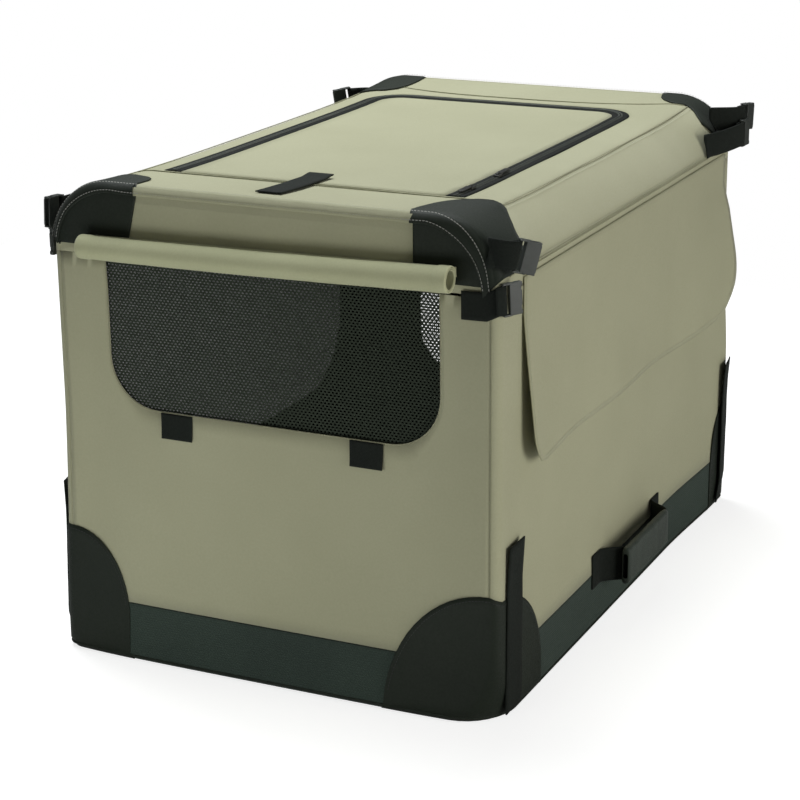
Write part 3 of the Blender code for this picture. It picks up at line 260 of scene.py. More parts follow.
class Cloth:
    """A sheet of cloth, collected as quads over shared points, then made with a thickness."""

    def __init__(self) -> None:
        """Start with no cloth."""
        self.points: list[Vector] = []
        self.flat: list[Flat] = []
        self.faces: list[tuple[int, ...]] = []
        self.known: dict[tuple[int, int, int], int] = {}

    def spot(self, point: Vector, flat: Flat) -> int:
        """Index of a point, shared with any other at the same place.

        Args:
            point: Place in space.
            flat: Place on the flat cloth.

        Returns:
            The index.
        """
        key = (round(point.x * 2e4), round(point.y * 2e4), round(point.z * 2e4))
        if key not in self.known:
            self.known[key] = len(self.points)
            self.points.append(Vector(point))
            self.flat.append(flat)
        return self.known[key]

    def grid(self, rows: Sequence[Row], wrap: bool = False) -> "Cloth":
        """Join rows of equal length with faces.

        Args:
            rows: Rows of points with their places on the flat cloth.
            wrap: Whether each row joins its ends.

        Returns:
            The cloth itself.
        """
        table = [[self.spot(p, uv) for p, uv in row] for row in rows]
        for low, high in zip(table, table[1:]):
            count = len(low) if wrap else len(low) - 1
            for j in range(count):
                k = (j + 1) % len(low)
                quad: list[int] = []
                for index in (low[j], low[k], high[k], high[j]):
                    if index not in quad:
                        quad.append(index)
                if len(quad) > 2:
                    self.faces.append(tuple(quad))
        return self

    def build(self, name: str, materials: Sequence[Material], thickness: float = 0.0,
              centre: Point | None = None, grow: float = -1.0) -> Piece:
        """Make the mesh piece.

        Args:
            name: Piece name.
            materials: Outer finish, and a second for the inner side where there is one.
            thickness: Thickness of the cloth, or 0 for a single skin.
            centre: Place that the outer side looks away from, or none to keep the faces as they are.
            grow: -1 to thicken inward, 1 outward, 0 both ways.

        Returns:
            The new object.
        """
        mesh = bpy.data.meshes.new(name)
        mesh.from_pydata([tuple(p) for p in self.points], [], self.faces)
        work = bmesh.new()
        work.from_mesh(mesh)
        bmesh.ops.recalc_face_normals(work, faces=work.faces)
        if centre is not None:
            middle = Vector(centre)
            facing = sum(f.normal.dot(f.calc_center_median() - middle) * f.calc_area()
                         for f in work.faces)
            if facing < 0:
                bmesh.ops.reverse_faces(work, faces=work.faces)
        layer = work.loops.layers.uv.new("cloth")
        work.verts.ensure_lookup_table()
        for face in work.faces:
            face.smooth = True
            for loop in face.loops:
                loop[layer].uv = self.flat[loop.vert.index]
        work.to_mesh(mesh)
        work.free()
        for material in materials:
            mesh.materials.append(material)
        piece = add_object(name, mesh)
        if thickness:
            solid = piece.modifiers.new("thickness", "SOLIDIFY")
            solid.thickness = thickness
            solid.offset = grow
            solid.use_even_offset = False
            if len(materials) > 1:
                solid.material_offset = 1
        return piece


def ring_between(inner: Sequence[Flat], outer: Sequence[Flat], rows: int,
                 place: Callable[[Flat], Vector]) -> list[Row]:
    """Rows of points from a hole's edge out to an outer edge.

    Args:
        inner: Outline of the hole.
        outer: Points of the outer edge, one column each.
        rows: Number of steps between the two.
        place: Turns a flat place into a place in space.

    Returns:
        The rows, from the hole outward.
    """
    columns = [(nearest(point, inner), point) for point in outer]
    table: list[Row] = []
    for i in range(rows + 1):
        flats = [between(a, b, i / rows) for a, b in columns]
        table.append([(place(flat), flat) for flat in flats])
    return table


def edge_points(low: Flat, high: Flat, step: float) -> list[Flat]:
    """Evenly spaced points around a rectangle, corners included.

    Args:
        low: Lower left corner.
        high: Upper right corner.
        step: Largest distance between points.

    Returns:
        The points, counterclockwise.
    """
    across = max(1, round((high[0] - low[0]) / step))
    upright = max(1, round((high[1] - low[1]) / step))
    us, vs = spread(low[0], high[0], across), spread(low[1], high[1], upright)
    points = [(u, low[1]) for u in us[:-1]]
    points += [(high[0], v) for v in vs[:-1]]
    points += [(u, high[1]) for u in us[:0:-1]]
    points += [(low[0], v) for v in vs[:0:-1]]
    return points


def band_piece(name: str, path: Sequence[Vector], across: Callable[[int], Vector],
               half: Callable[[float], float], material: Material, thickness: float,
               columns: int = 6, grow: float = 0.0, wobble: float = 0.0) -> Piece:
    """A flat strap along a path.

    Args:
        name: Piece name.
        path: Points down the middle of the strap.
        across: Direction across the strap at each point.
        half: Half width at a share of the length.
        material: Finish.
        thickness: Thickness of the strap.
        columns: Number of faces across.
        grow: Side that it thickens to.
        wobble: Height of small unevenness.

    Returns:
        The new object.
    """
    cloth = Cloth()
    rows: list[Row] = []
    run = 0.0
    total = sum((b - a).length for a, b in zip(path, path[1:]))
    for i, point in enumerate(path):
        if i:
            run += (point - path[i - 1]).length
        side = across(i)
        ahead = (path[min(i + 1, len(path) - 1)] - path[max(i - 1, 0)]).normalized()
        out = side.cross(ahead).normalized()
        width = half(run / total)
        row: Row = []
        for offset in spread(-width, width, columns):
            spot = point + side * offset
            spot = spot + out * (wobble * ripple(spot, 0.02, 3.1))
            row.append((spot, (offset, run)))
        rows.append(row)
    return cloth.grid(rows).build(name, [material], thickness, None, grow)


def cord_piece(name: str, paths: Sequence[Sequence[Vector]], radius: float, material: Material,
               sides: int = 8, closed: bool = False) -> Piece:
    """Round cords or piping along paths, with domed ends.

    Args:
        name: Piece name.
        paths: One list of points for each cord.
        radius: Radius of the cord.
        material: Finish.
        sides: Faces around the cord.
        closed: Whether each cord joins its ends.

    Returns:
        The new object.
    """
    cloth = Cloth()
    for path in paths:
        count = len(path)
        rows: list[Row] = []
        side = Vector((0, 0, 1))
        run = 0.0
        for i, point in enumerate(path):
            before = path[i - 1] if closed or i else path[i]
            after = path[(i + 1) % count] if closed or i < count - 1 else path[i]
            ahead = (after - before).normalized()
            if abs(ahead.dot(side)) > 0.95:
                side = Vector((1, 0, 0)) if abs(ahead.x) < 0.9 else Vector((0, 1, 0))
            first = (side - ahead * side.dot(ahead)).normalized()
            side = first
            second = ahead.cross(first)
            run += (point - path[i - 1]).length if i else 0.0
            row: Row = []
            for k in range(sides):
                turn = 2 * pi * k / sides
                spot = point + first * (radius * cos(turn)) + second * (radius * sin(turn))
                row.append((spot, (k / sides, run)))
            rows.append(row)
        if closed:
            rows.append(rows[0])
        else:
            start = [(path[0], uv) for _, uv in rows[0]]
            end = [(path[-1], uv) for _, uv in rows[-1]]
            rows = [start] + rows + [end]
        cloth.grid(rows, wrap=True)
    return cloth.build(name, [material])


STITCH_LENGTH, STITCH_PITCH, THREAD_RADIUS = 0.0030, 0.0046, 0.00045


def stitch_piece(name: str, lines: Sequence[Line], material: Material) -> Piece:
    """Rows of thread stitches that lie on a surface.

    Args:
        name: Piece name.
        lines: Lines of points, each with the outward direction there.
        material: Thread finish.

    Returns:
        The new object.
    """
    points: list[Point] = []
    faces: list[tuple[int, ...]] = []
    for line in lines:
        spots = [p for p, _ in line]
        for middle, ahead, share in walk(spots, STITCH_PITCH):
            near = min(len(line) - 1, int(round(share * (len(line) - 1))))
            out = line[near][1].normalized()
            side = ahead.cross(out).normalized() * THREAD_RADIUS
            half = ahead * (STITCH_LENGTH / 2)
            base = len(points)
            crown = out * (THREAD_RADIUS * 1.3)
            for along, lift in ((-1.0, 0.0), (-0.6, 1.0), (0.6, 1.0), (1.0, 0.0)):
                spot = middle + half * along + crown * lift
                points.append(tuple(spot - side))
                points.append(tuple(spot + side))
            for k in range(3):
                a = base + 2 * k
                faces.append((a, a + 1, a + 3, a + 2))
    mesh = bpy.data.meshes.new(name)
    mesh.from_pydata(points, [], faces)
    mesh.materials.append(material)
    mesh.shade_smooth()
    return add_object(name, mesh)


def walk(path: Sequence[Vector], pitch: float) -> list[tuple[Vector, Vector, float]]:
    """Even places along a path.

    Args:
        path: Corners of the path.
        pitch: Distance between places.

    Returns:
        Place, direction and share along the list of corners.
    """
    found: list[tuple[Vector, Vector, float]] = []
    walked, goal = 0.0, pitch / 2
    for i, (a, b) in enumerate(zip(path, path[1:])):
        length = (b - a).length
        while length > 0 and goal <= walked + length:
            share = (goal - walked) / length
            found.append((a.lerp(b, share), (b - a).normalized(), (i + share) / (len(path) - 1)))
            goal += pitch
        walked += length
    return found


def slab_piece(name: str, outline: Sequence[Flat], low: float, high: float, place: Place,
               material: Material, bevel: float) -> Piece:
    """A flat moulded piece with rounded edges.

    Args:
        name: Piece name.
        outline: Closed outline.
        low: Lower face.
        high: Upper face.
        place: Turns outline and height into a place in space.
        material: Finish.
        bevel: Radius of the edges.

    Returns:
        The new object.
    """
    count = len(outline)
    points = [tuple(place(u, v, w)) for w in (low, high) for u, v in outline]
    faces: list[tuple[int, ...]] = [tuple(range(count)), tuple(range(2 * count - 1, count - 1, -1))]
    faces += [(j, (j + 1) % count, count + (j + 1) % count, count + j) for j in range(count)]
    mesh = bpy.data.meshes.new(name)
    mesh.from_pydata(points, [], faces)
    work = bmesh.new()
    work.from_mesh(mesh)
    bmesh.ops.recalc_face_normals(work, faces=work.faces)
    work.to_mesh(mesh)
    work.free()
    mesh.materials.append(material)
    mesh.shade_smooth()
    piece = add_object(name, mesh)
    edge = piece.modifiers.new("edges", "BEVEL")
    edge.width = bevel
    edge.segments = 2
    edge.limit_method = "ANGLE"
    edge.angle_limit = radians(40)
    piece.modifiers.new("shading", "WEIGHTED_NORMAL").keep_sharp = True
    return piece


def join_pieces(pieces: Sequence[Piece], name: str) -> Piece:
    """Merge finished pieces into one object, with their modifiers applied.

    Args:
        pieces: Objects to merge.
        name: Name of the result.

    Returns:
        The merged object.
    """
    depsgraph = bpy.context.evaluated_depsgraph_get()
    mesh = bpy.data.meshes.new(name)
    work = bmesh.new()
    work.loops.layers.uv.new("cloth")
    slots: list[Material] = []
    for piece in pieces:
        shape = bpy.data.meshes.new_from_object(piece.evaluated_get(depsgraph))
        turn: dict[int, int] = {}
        for i, material in enumerate(shape.materials):
            if material not in slots:
                slots.append(material)
            turn[i] = slots.index(material)
        first = len(work.faces)
        work.from_mesh(shape)
        work.faces.ensure_lookup_table()
        for face in work.faces[first:]:
            face.material_index = turn.get(face.material_index, 0)
        bpy.data.meshes.remove(shape)
        bpy.data.objects.remove(piece, do_unlink=True)
    work.to_mesh(mesh)
    work.free()
    for material in slots:
        mesh.materials.append(material)
    return add_object(name, mesh)


# Shader tools


class Graph:
    """Adds and joins shader nodes in one tree."""

    def __init__(self, tree: Tree) -> None:
        """Work on a node tree."""
        self.tree = tree

    def node(self, kind: str, **settings: object) -> Node:
        """Add a node and set its properties.

        Args:
            kind: Blender's name of the node.
            settings: Properties by name.

        Returns:
            The node.
        """
        made = self.tree.nodes.new(kind)
        for key, value in settings.items():
            setattr(made, key, value)
        return made

    def feed(self, socket: Socket, value: object) -> None:
        """Link a socket to another, or give it a number or colour.

        Args:
            socket: Input to fill.
            value: Another node's output, a number or colour, or none to leave it.
        """
        if isinstance(value, Socket):
            self.tree.links.new(value, socket)
        elif value is not None:
            socket.default_value = value

    def maths(self, operation: str, first: object, second: object = None,
              third: object = None) -> Socket:
        """Add a Math node and return its result.

        Args:
            operation: Blender's name of the operation.
            first: First value.
            second: Second value.
            third: Third value.

        Returns:
            The result.
        """
        made = self.node("ShaderNodeMath", operation=operation)
        for socket, value in zip(made.inputs, (first, second, third)):
            self.feed(socket, value)
        return made.outputs[0]

    def remap(self, value: object, low: object, high: object, to_low: float,
              to_high: float) -> Socket:
        """Map a range to another, cut at both ends.

        Args:
            value: Value to map.
            low: Start of its range.
            high: End of its range.
            to_low: Result at the start.
            to_high: Result at the end.

        Returns:
            The mapped value.
        """
        made = self.node("ShaderNodeMapRange")
        for socket, item in zip(made.inputs, (value, low, high, to_low, to_high)):
            self.feed(socket, item)
        return made.outputs[0]

    def mix(self, share: object, first: object, second: object) -> Socket:
        """Mix two colours.

        Args:
            share: 0 for the first, 1 for the second.
            first: First colour.
            second: Second colour.

        Returns:
            The mixed colour.
        """
        made = self.node("ShaderNodeMix", data_type="RGBA")
        self.feed(made.inputs[0], share)
        self.feed(made.inputs[6], first)
        self.feed(made.inputs[7], second)
        return made.outputs[2]

    def noise(self, vector: object, scale: object, detail: float = 2.0) -> Socket:
        """Noise between 0 and 1.

        Args:
            vector: Place to look at.
            scale: Changes per metre.
            detail: Finer layers added.

        Returns:
            The noise value.
        """
        made = self.node("ShaderNodeTexNoise")
        self.feed(made.inputs["Vector"], vector)
        self.feed(made.inputs["Scale"], scale)
        made.inputs["Detail"].default_value = detail
        return made.outputs["Fac"]

    def bump(self, height: object, distance: float, normal: object = None) -> Socket:
        """Relief of a height in metres, over another relief where one is given.

        Args:
            height: Height between 0 and 1.
            distance: Height in metres at 1.
            normal: Relief under it.

        Returns:
            The new normal.
        """
        made = self.node("ShaderNodeBump")
        made.inputs["Distance"].default_value = distance
        self.feed(made.inputs["Height"], height)
        self.feed(made.inputs["Normal"], normal)
        return made.outputs[0]

    def group(self, tree: Tree, **values: object) -> Node:
        """Place a shared effect with its own values.

        Args:
            tree: The effect.
            values: Its inputs by name.

        Returns:
            The node.
        """
        made = self.node("ShaderNodeGroup", node_tree=tree)
        for key, value in values.items():
            self.feed(made.inputs[key.replace("_", " ")], value)
        return made


class Effects:
    """Shared shader effects, each built once."""

    def __init__(self) -> None:
        """Build every effect."""
        self.weave = self.make_weave()
        self.mottle = self.make_mottle()
        self.crumple = self.make_crumple()
        self.holes = self.make_holes()

    @staticmethod
    def start(name: str, inputs: Sequence[Default], outputs: Sequence[str]) -> tuple[Tree, Graph, Node, Node]:
        """Start a node group with number inputs and outputs.

        Args:
            name: Group name.
            inputs: Names and defaults.
            outputs: Names.

        Returns:
            The tree, its graph, and the nodes that bring values in and out.
        """
        tree = bpy.data.node_groups.new(name, "ShaderNodeTree")
        for label, value in inputs:
            socket = tree.interface.new_socket(label, in_out="INPUT", socket_type="NodeSocketFloat")
            socket.default_value = value
        for label in outputs:
            tree.interface.new_socket(label, in_out="OUTPUT", socket_type="NodeSocketFloat")
        graph = Graph(tree)
        return tree, graph, graph.node("NodeGroupInput"), graph.node("NodeGroupOutput")

    def make_weave(self) -> Tree:
        """Threads in rows over the flat cloth, each row shifted by half a thread.

        Returns:
            The effect.
        """
        tree, graph, given, out = self.start(
            "woven_threads", (("Across", 0.002), ("Along", 0.002), ("Shift", 0.5)), ("Height",))
        split = graph.node("ShaderNodeSeparateXYZ")
        graph.feed(split.inputs[0], graph.node("ShaderNodeUVMap", uv_map="cloth").outputs[0])
        across = graph.maths("DIVIDE", split.outputs[0], given.outputs["Across"])
        along = graph.maths("DIVIDE", split.outputs[1], given.outputs["Along"])
        row = graph.maths("FLOOR", along)
        moved = graph.maths("MULTIPLY_ADD", row, given.outputs["Shift"], across)
        first = graph.maths("ABSOLUTE", graph.maths("SINE", graph.maths("MULTIPLY", moved, pi)))
        second = graph.maths("ABSOLUTE", graph.maths("SINE", graph.maths("MULTIPLY", along, pi)))
        graph.feed(out.inputs["Height"], graph.maths("MULTIPLY", first, second))
        return tree

    def make_mottle(self) -> Tree:
        """Slow and fine unevenness of a dyed surface.

        Returns:
            The effect.
        """
        tree, graph, given, out = self.start(
            "uneven_dye", (("Large", 0.12), ("Fine", 0.004)), ("Share", "Grain"))
        place = graph.node("ShaderNodeTexCoord").outputs["Object"]
        large = graph.noise(place, graph.maths("DIVIDE", 1.0, given.outputs["Large"]), 3.0)
        fine = graph.noise(place, graph.maths("DIVIDE", 1.0, given.outputs["Fine"]), 1.0)
        graph.feed(out.inputs["Share"], graph.remap(large, 0.3, 0.7, 0.0, 1.0))
        graph.feed(out.inputs["Grain"], graph.remap(fine, 0.3, 0.7, 0.0, 1.0))
        return tree

    def make_crumple(self) -> Tree:
        """Soft dents left by folding.

        Returns:
            The effect.
        """
        tree, graph, given, out = self.start("fold_dents", (("Size", 0.05),), ("Height",))
        place = graph.node("ShaderNodeTexCoord").outputs["Object"]
        scale = graph.maths("DIVIDE", 1.0, given.outputs["Size"])
        warp = graph.node("ShaderNodeTexNoise", noise_type="RIDGED_MULTIFRACTAL")
        graph.feed(warp.inputs["Vector"], place)
        graph.feed(warp.inputs["Scale"], scale)
        warp.inputs["Detail"].default_value = 2.0
        graph.feed(out.inputs["Height"], graph.remap(warp.outputs["Fac"], 0.0, 2.0, 0.0, 1.0))
        return tree

    def make_holes(self) -> Tree:
        """Open holes of a knitted mesh, in shifted rows.

        Returns:
            The effect.
        """
        tree, graph, given, out = self.start(
            "knit_holes", (("Across", 0.004), ("Along", 0.004), ("Open", 0.5), ("Edge", 0.15)), ("Hole",))
        inner = graph.group(self.weave, Across=given.outputs["Across"], Along=given.outputs["Along"],
                            Shift=0.5)
        low = graph.maths("SUBTRACT", 1.0, given.outputs["Open"])
        high = graph.maths("ADD", low, given.outputs["Edge"])
        graph.feed(out.inputs["Hole"], graph.remap(inner.outputs["Height"], low, high, 0.0, 1.0))
        return tree


def rgba(colour: Colour) -> tuple[float, float, float, float]:
    """A colour with full opacity."""
    return (*colour, 1.0)


def shader_of(name: str) -> tuple[Material, Graph, Node]:
    """Start a material.

    Args:
        name: Material name.

    Returns:
        The material, its graph and its Principled node.
    """
    material = bpy.data.materials.new(name)
    material.use_nodes = True
    graph = Graph(material.node_tree)
    return material, graph, material.node_tree.nodes["Principled BSDF"]


@dataclass(frozen=True)
class WovenFinish:
    """A woven cloth: dyed threads, soft dents and a dry sheen."""

    name: str
    colour: Colour
    second: Colour
    across: float = 0.0009
    along: float = 0.0009
    depth: float = 0.00012
    dents: float = 0.0006
    dent_size: float = 0.06
    roughness: float = 0.85
    sheen: float = 0.15
    grain: float = 0.12
    contrast: float = 0.15

    def make(self, effects: Effects) -> Material:
        """Build the material.

        Args:
            effects: Shared shader effects.

        Returns:
            The material.
        """
        material, graph, shader = shader_of(self.name)
        dye = graph.group(effects.mottle, Large=0.14, Fine=0.003)
        weave = graph.group(effects.weave, Across=self.across, Along=self.along, Shift=0.5)
        dents = graph.group(effects.crumple, Size=self.dent_size)
        base = graph.mix(dye.outputs["Share"], rgba(self.colour), rgba(self.second))
        dark = rgba(tuple(channel * (1 - self.contrast * 2) for channel in self.second))
        threads = graph.remap(weave.outputs["Height"], 0.0, 0.6, self.contrast, 0.0)
        woven = graph.mix(threads, base, dark)
        grain = graph.maths("MULTIPLY", dye.outputs["Grain"], self.grain)
        graph.feed(shader.inputs["Base Color"], graph.mix(grain, woven, dark))
        rough = graph.remap(dye.outputs["Grain"], 0.0, 1.0, self.roughness - 0.06, self.roughness + 0.06)
        graph.feed(shader.inputs["Roughness"], rough)
        folded = graph.bump(dents.outputs["Height"], self.dents)
        graph.feed(shader.inputs["Normal"], graph.bump(weave.outputs["Height"], self.depth, folded))
        shader.inputs["Sheen Weight"].default_value = self.sheen
        shader.inputs["Sheen Roughness"].default_value = 0.5
        shader.inputs["Specular IOR Level"].default_value = 0.25
        return material


@dataclass(frozen=True)
class MeshFinish:
    """A knitted window mesh with open holes."""

    name: str
    colour: Colour
    pitch: float = 0.0056
    open_share: float = 0.50
    edge: float = 0.12

    def make(self, effects: Effects) -> Material:
        """Build the material.

        Args:
            effects: Shared shader effects.

        Returns:
            The material.
        """
        material, graph, shader = shader_of(self.name)
        view = graph.node("ShaderNodeLayerWeight")
        share = graph.remap(view.outputs["Facing"], 0.20, 0.62, self.open_share, self.open_share * 0.45)
        holes = graph.group(effects.holes, Across=self.pitch, Along=self.pitch * 0.68, Open=share,
                            Edge=self.edge)
        dye = graph.group(effects.mottle, Large=0.05, Fine=0.002)
        pale = rgba(tuple(channel * 1.8 + 0.004 for channel in self.colour))
        graph.feed(shader.inputs["Base Color"], graph.mix(dye.outputs["Grain"], rgba(self.colour), pale))
        graph.feed(shader.inputs["Alpha"], graph.maths("SUBTRACT", 1.0, holes.outputs["Hole"]))
        bump = graph.node("ShaderNodeBump", invert=True)
        bump.inputs["Distance"].default_value = 0.0004
        graph.feed(bump.inputs["Height"], holes.outputs["Hole"])
        graph.feed(shader.inputs["Normal"], bump.outputs[0])
        shader.inputs["Roughness"].default_value = 0.7
        shader.inputs["Specular IOR Level"].default_value = 0.12
        material.surface_render_method = "DITHERED"
        return material


@dataclass(frozen=True)
class MouldedFinish:
    """Moulded plastic or coated metal with fine grain and a second colour at sharp edges, which on the buckle plastic
    is a painted highlight.
    """

    name: str
    colour: Colour
    # Second colour for the random tone and the sharp edges; its lighter edges on the buckle plastic are a painted
    # highlight
    edge_and_mottle_colour: Colour
    roughness: float = 0.4
    metallic: float = 0.0
    grain: float = 0.00006

    def make(self, effects: Effects) -> Material:
        """Build the material.

        Args:
            effects: Shared shader effects.

        Returns:
            The material.
        """
        material, graph, shader = shader_of(self.name)
        dye = graph.group(effects.mottle, Large=0.03, Fine=0.0012)
        shape = graph.node("ShaderNodeNewGeometry")
        # Sharp convex edges take the second colour: a painted highlight on the buckle plastic
        edge = graph.remap(shape.outputs["Pointiness"], 0.52, 0.60, 0.0, 0.7)
        share = graph.maths("MULTIPLY", dye.outputs["Share"], 0.5)
        base = graph.mix(share, rgba(self.colour), rgba(self.edge_and_mottle_colour))
        graph.feed(shader.inputs["Base Color"], graph.mix(edge, base, rgba(self.edge_and_mottle_colour)))
        rough = graph.remap(dye.outputs["Grain"], 0.0, 1.0, self.roughness - 0.07, self.roughness + 0.1)
        graph.feed(shader.inputs["Roughness"], rough)
        shader.inputs["Metallic"].default_value = self.metallic
        graph.feed(shader.inputs["Normal"], graph.bump(dye.outputs["Grain"], self.grain))
        return material


class Wardrobe:
    """Every finish of the crate."""

    def __init__(self, effects: Effects) -> None:
        """Make the materials.

        Args:
            effects: Shared shader effects.
        """
        self.sage = WovenFinish("sage_cloth", (0.468, 0.464, 0.308), (0.437, 0.432, 0.283)).make(effects)
        self.sage_seam = WovenFinish(
            "sage_seam", (0.37, 0.367, 0.24), (0.33, 0.327, 0.21), dents=0.0).make(effects)
        self.roll = WovenFinish(
            "blind_back", (0.56, 0.570, 0.353), (0.515, 0.524, 0.320), dents=0.0005, dent_size=0.04).make(effects)
        # Inner side of the cloth: a dark colour that paints the shade inside the crate
        self.inner_shade = WovenFinish(
            "inner_painted_shade", (0.115, 0.135, 0.100), (0.095, 0.110, 0.082), sheen=0.0).make(effects)
        self.patch = WovenFinish(
            "patch_cloth", (0.014, 0.020, 0.012), (0.010, 0.015, 0.009), across=0.0007, along=0.0007,
            depth=0.00006, dents=0.0010, dent_size=0.05, roughness=0.62, sheen=0.05, contrast=0.05).make(effects)
        self.band = WovenFinish(
            "woven_band", (0.046, 0.069, 0.054), (0.036, 0.054, 0.043), across=0.0044, along=0.0034,
            depth=0.0005, dents=0.0012, dent_size=0.09, roughness=0.85, sheen=0.1, contrast=0.32).make(effects)
        self.webbing = WovenFinish(
            "webbing", (0.011, 0.015, 0.011), (0.008, 0.011, 0.008), across=0.0030, along=0.0018,
            depth=0.00025, dents=0.0003, roughness=0.85, sheen=0.02, contrast=0.25).make(effects)
        self.grip = WovenFinish(
            "grip_cloth", (0.042, 0.055, 0.043), (0.030, 0.040, 0.031), across=0.0008, along=0.0008,
            depth=0.00006, dents=0.0022, dent_size=0.022, roughness=0.5, sheen=0.1, contrast=0.05).make(effects)
        self.pile = WovenFinish(
            "mat_pile", (0.075, 0.080, 0.074), (0.055, 0.059, 0.054), across=0.002, along=0.002,
            depth=0.0006, dents=0.0015, dent_size=0.04, roughness=0.95, sheen=0.5).make(effects)
        self.tape = WovenFinish(
            "zip_tape", (0.009, 0.011, 0.009), (0.007, 0.009, 0.007), across=0.0012, along=0.0012,
            depth=0.0002, roughness=0.8, sheen=0.0).make(effects)
        self.coil = WovenFinish(
            "zip_coil", (0.13, 0.14, 0.12), (0.09, 0.10, 0.085), across=0.5, along=0.0016,
            depth=0.0006, dents=0.0, roughness=0.4, sheen=0.0, contrast=0.4).make(effects)
        self.mesh = MeshFinish("window_mesh", (0.021, 0.027, 0.018), open_share=0.42).make(effects)
        self.side_mesh = MeshFinish("side_window_mesh", (0.026, 0.031, 0.022), 0.0018, 0.46, 0.5).make(effects)
        self.rear_mesh = MeshFinish("rear_window_mesh", (0.020, 0.024, 0.018), 0.0036, 0.66, 0.30).make(effects)
        self.thread = MouldedFinish("pale_thread", (0.42, 0.42, 0.38), (0.36, 0.36, 0.33), 0.7).make(effects)
        self.sage_thread = MouldedFinish("sage_thread", (0.50, 0.50, 0.38), (0.42, 0.42, 0.31), 0.7).make(effects)
        self.dark_thread = MouldedFinish("dark_thread", (0.03, 0.033, 0.03), (0.02, 0.022, 0.02), 0.7).make(effects)
        # Buckle plastic: the lighter second colour on its edges is a painted highlight
        self.plastic = MouldedFinish(
            "buckle_plastic", (0.019, 0.023, 0.019), (0.070, 0.078, 0.070), 0.36).make(effects)
        self.metal = MouldedFinish(
            "zip_slider", (0.035, 0.036, 0.035), (0.12, 0.12, 0.115), 0.32, metallic=0.7).make(effects)
        self.tube = MouldedFinish(
            "coated_tube", (0.020, 0.021, 0.022), (0.045, 0.046, 0.048), 0.42).make(effects)


# Shared form of the crate


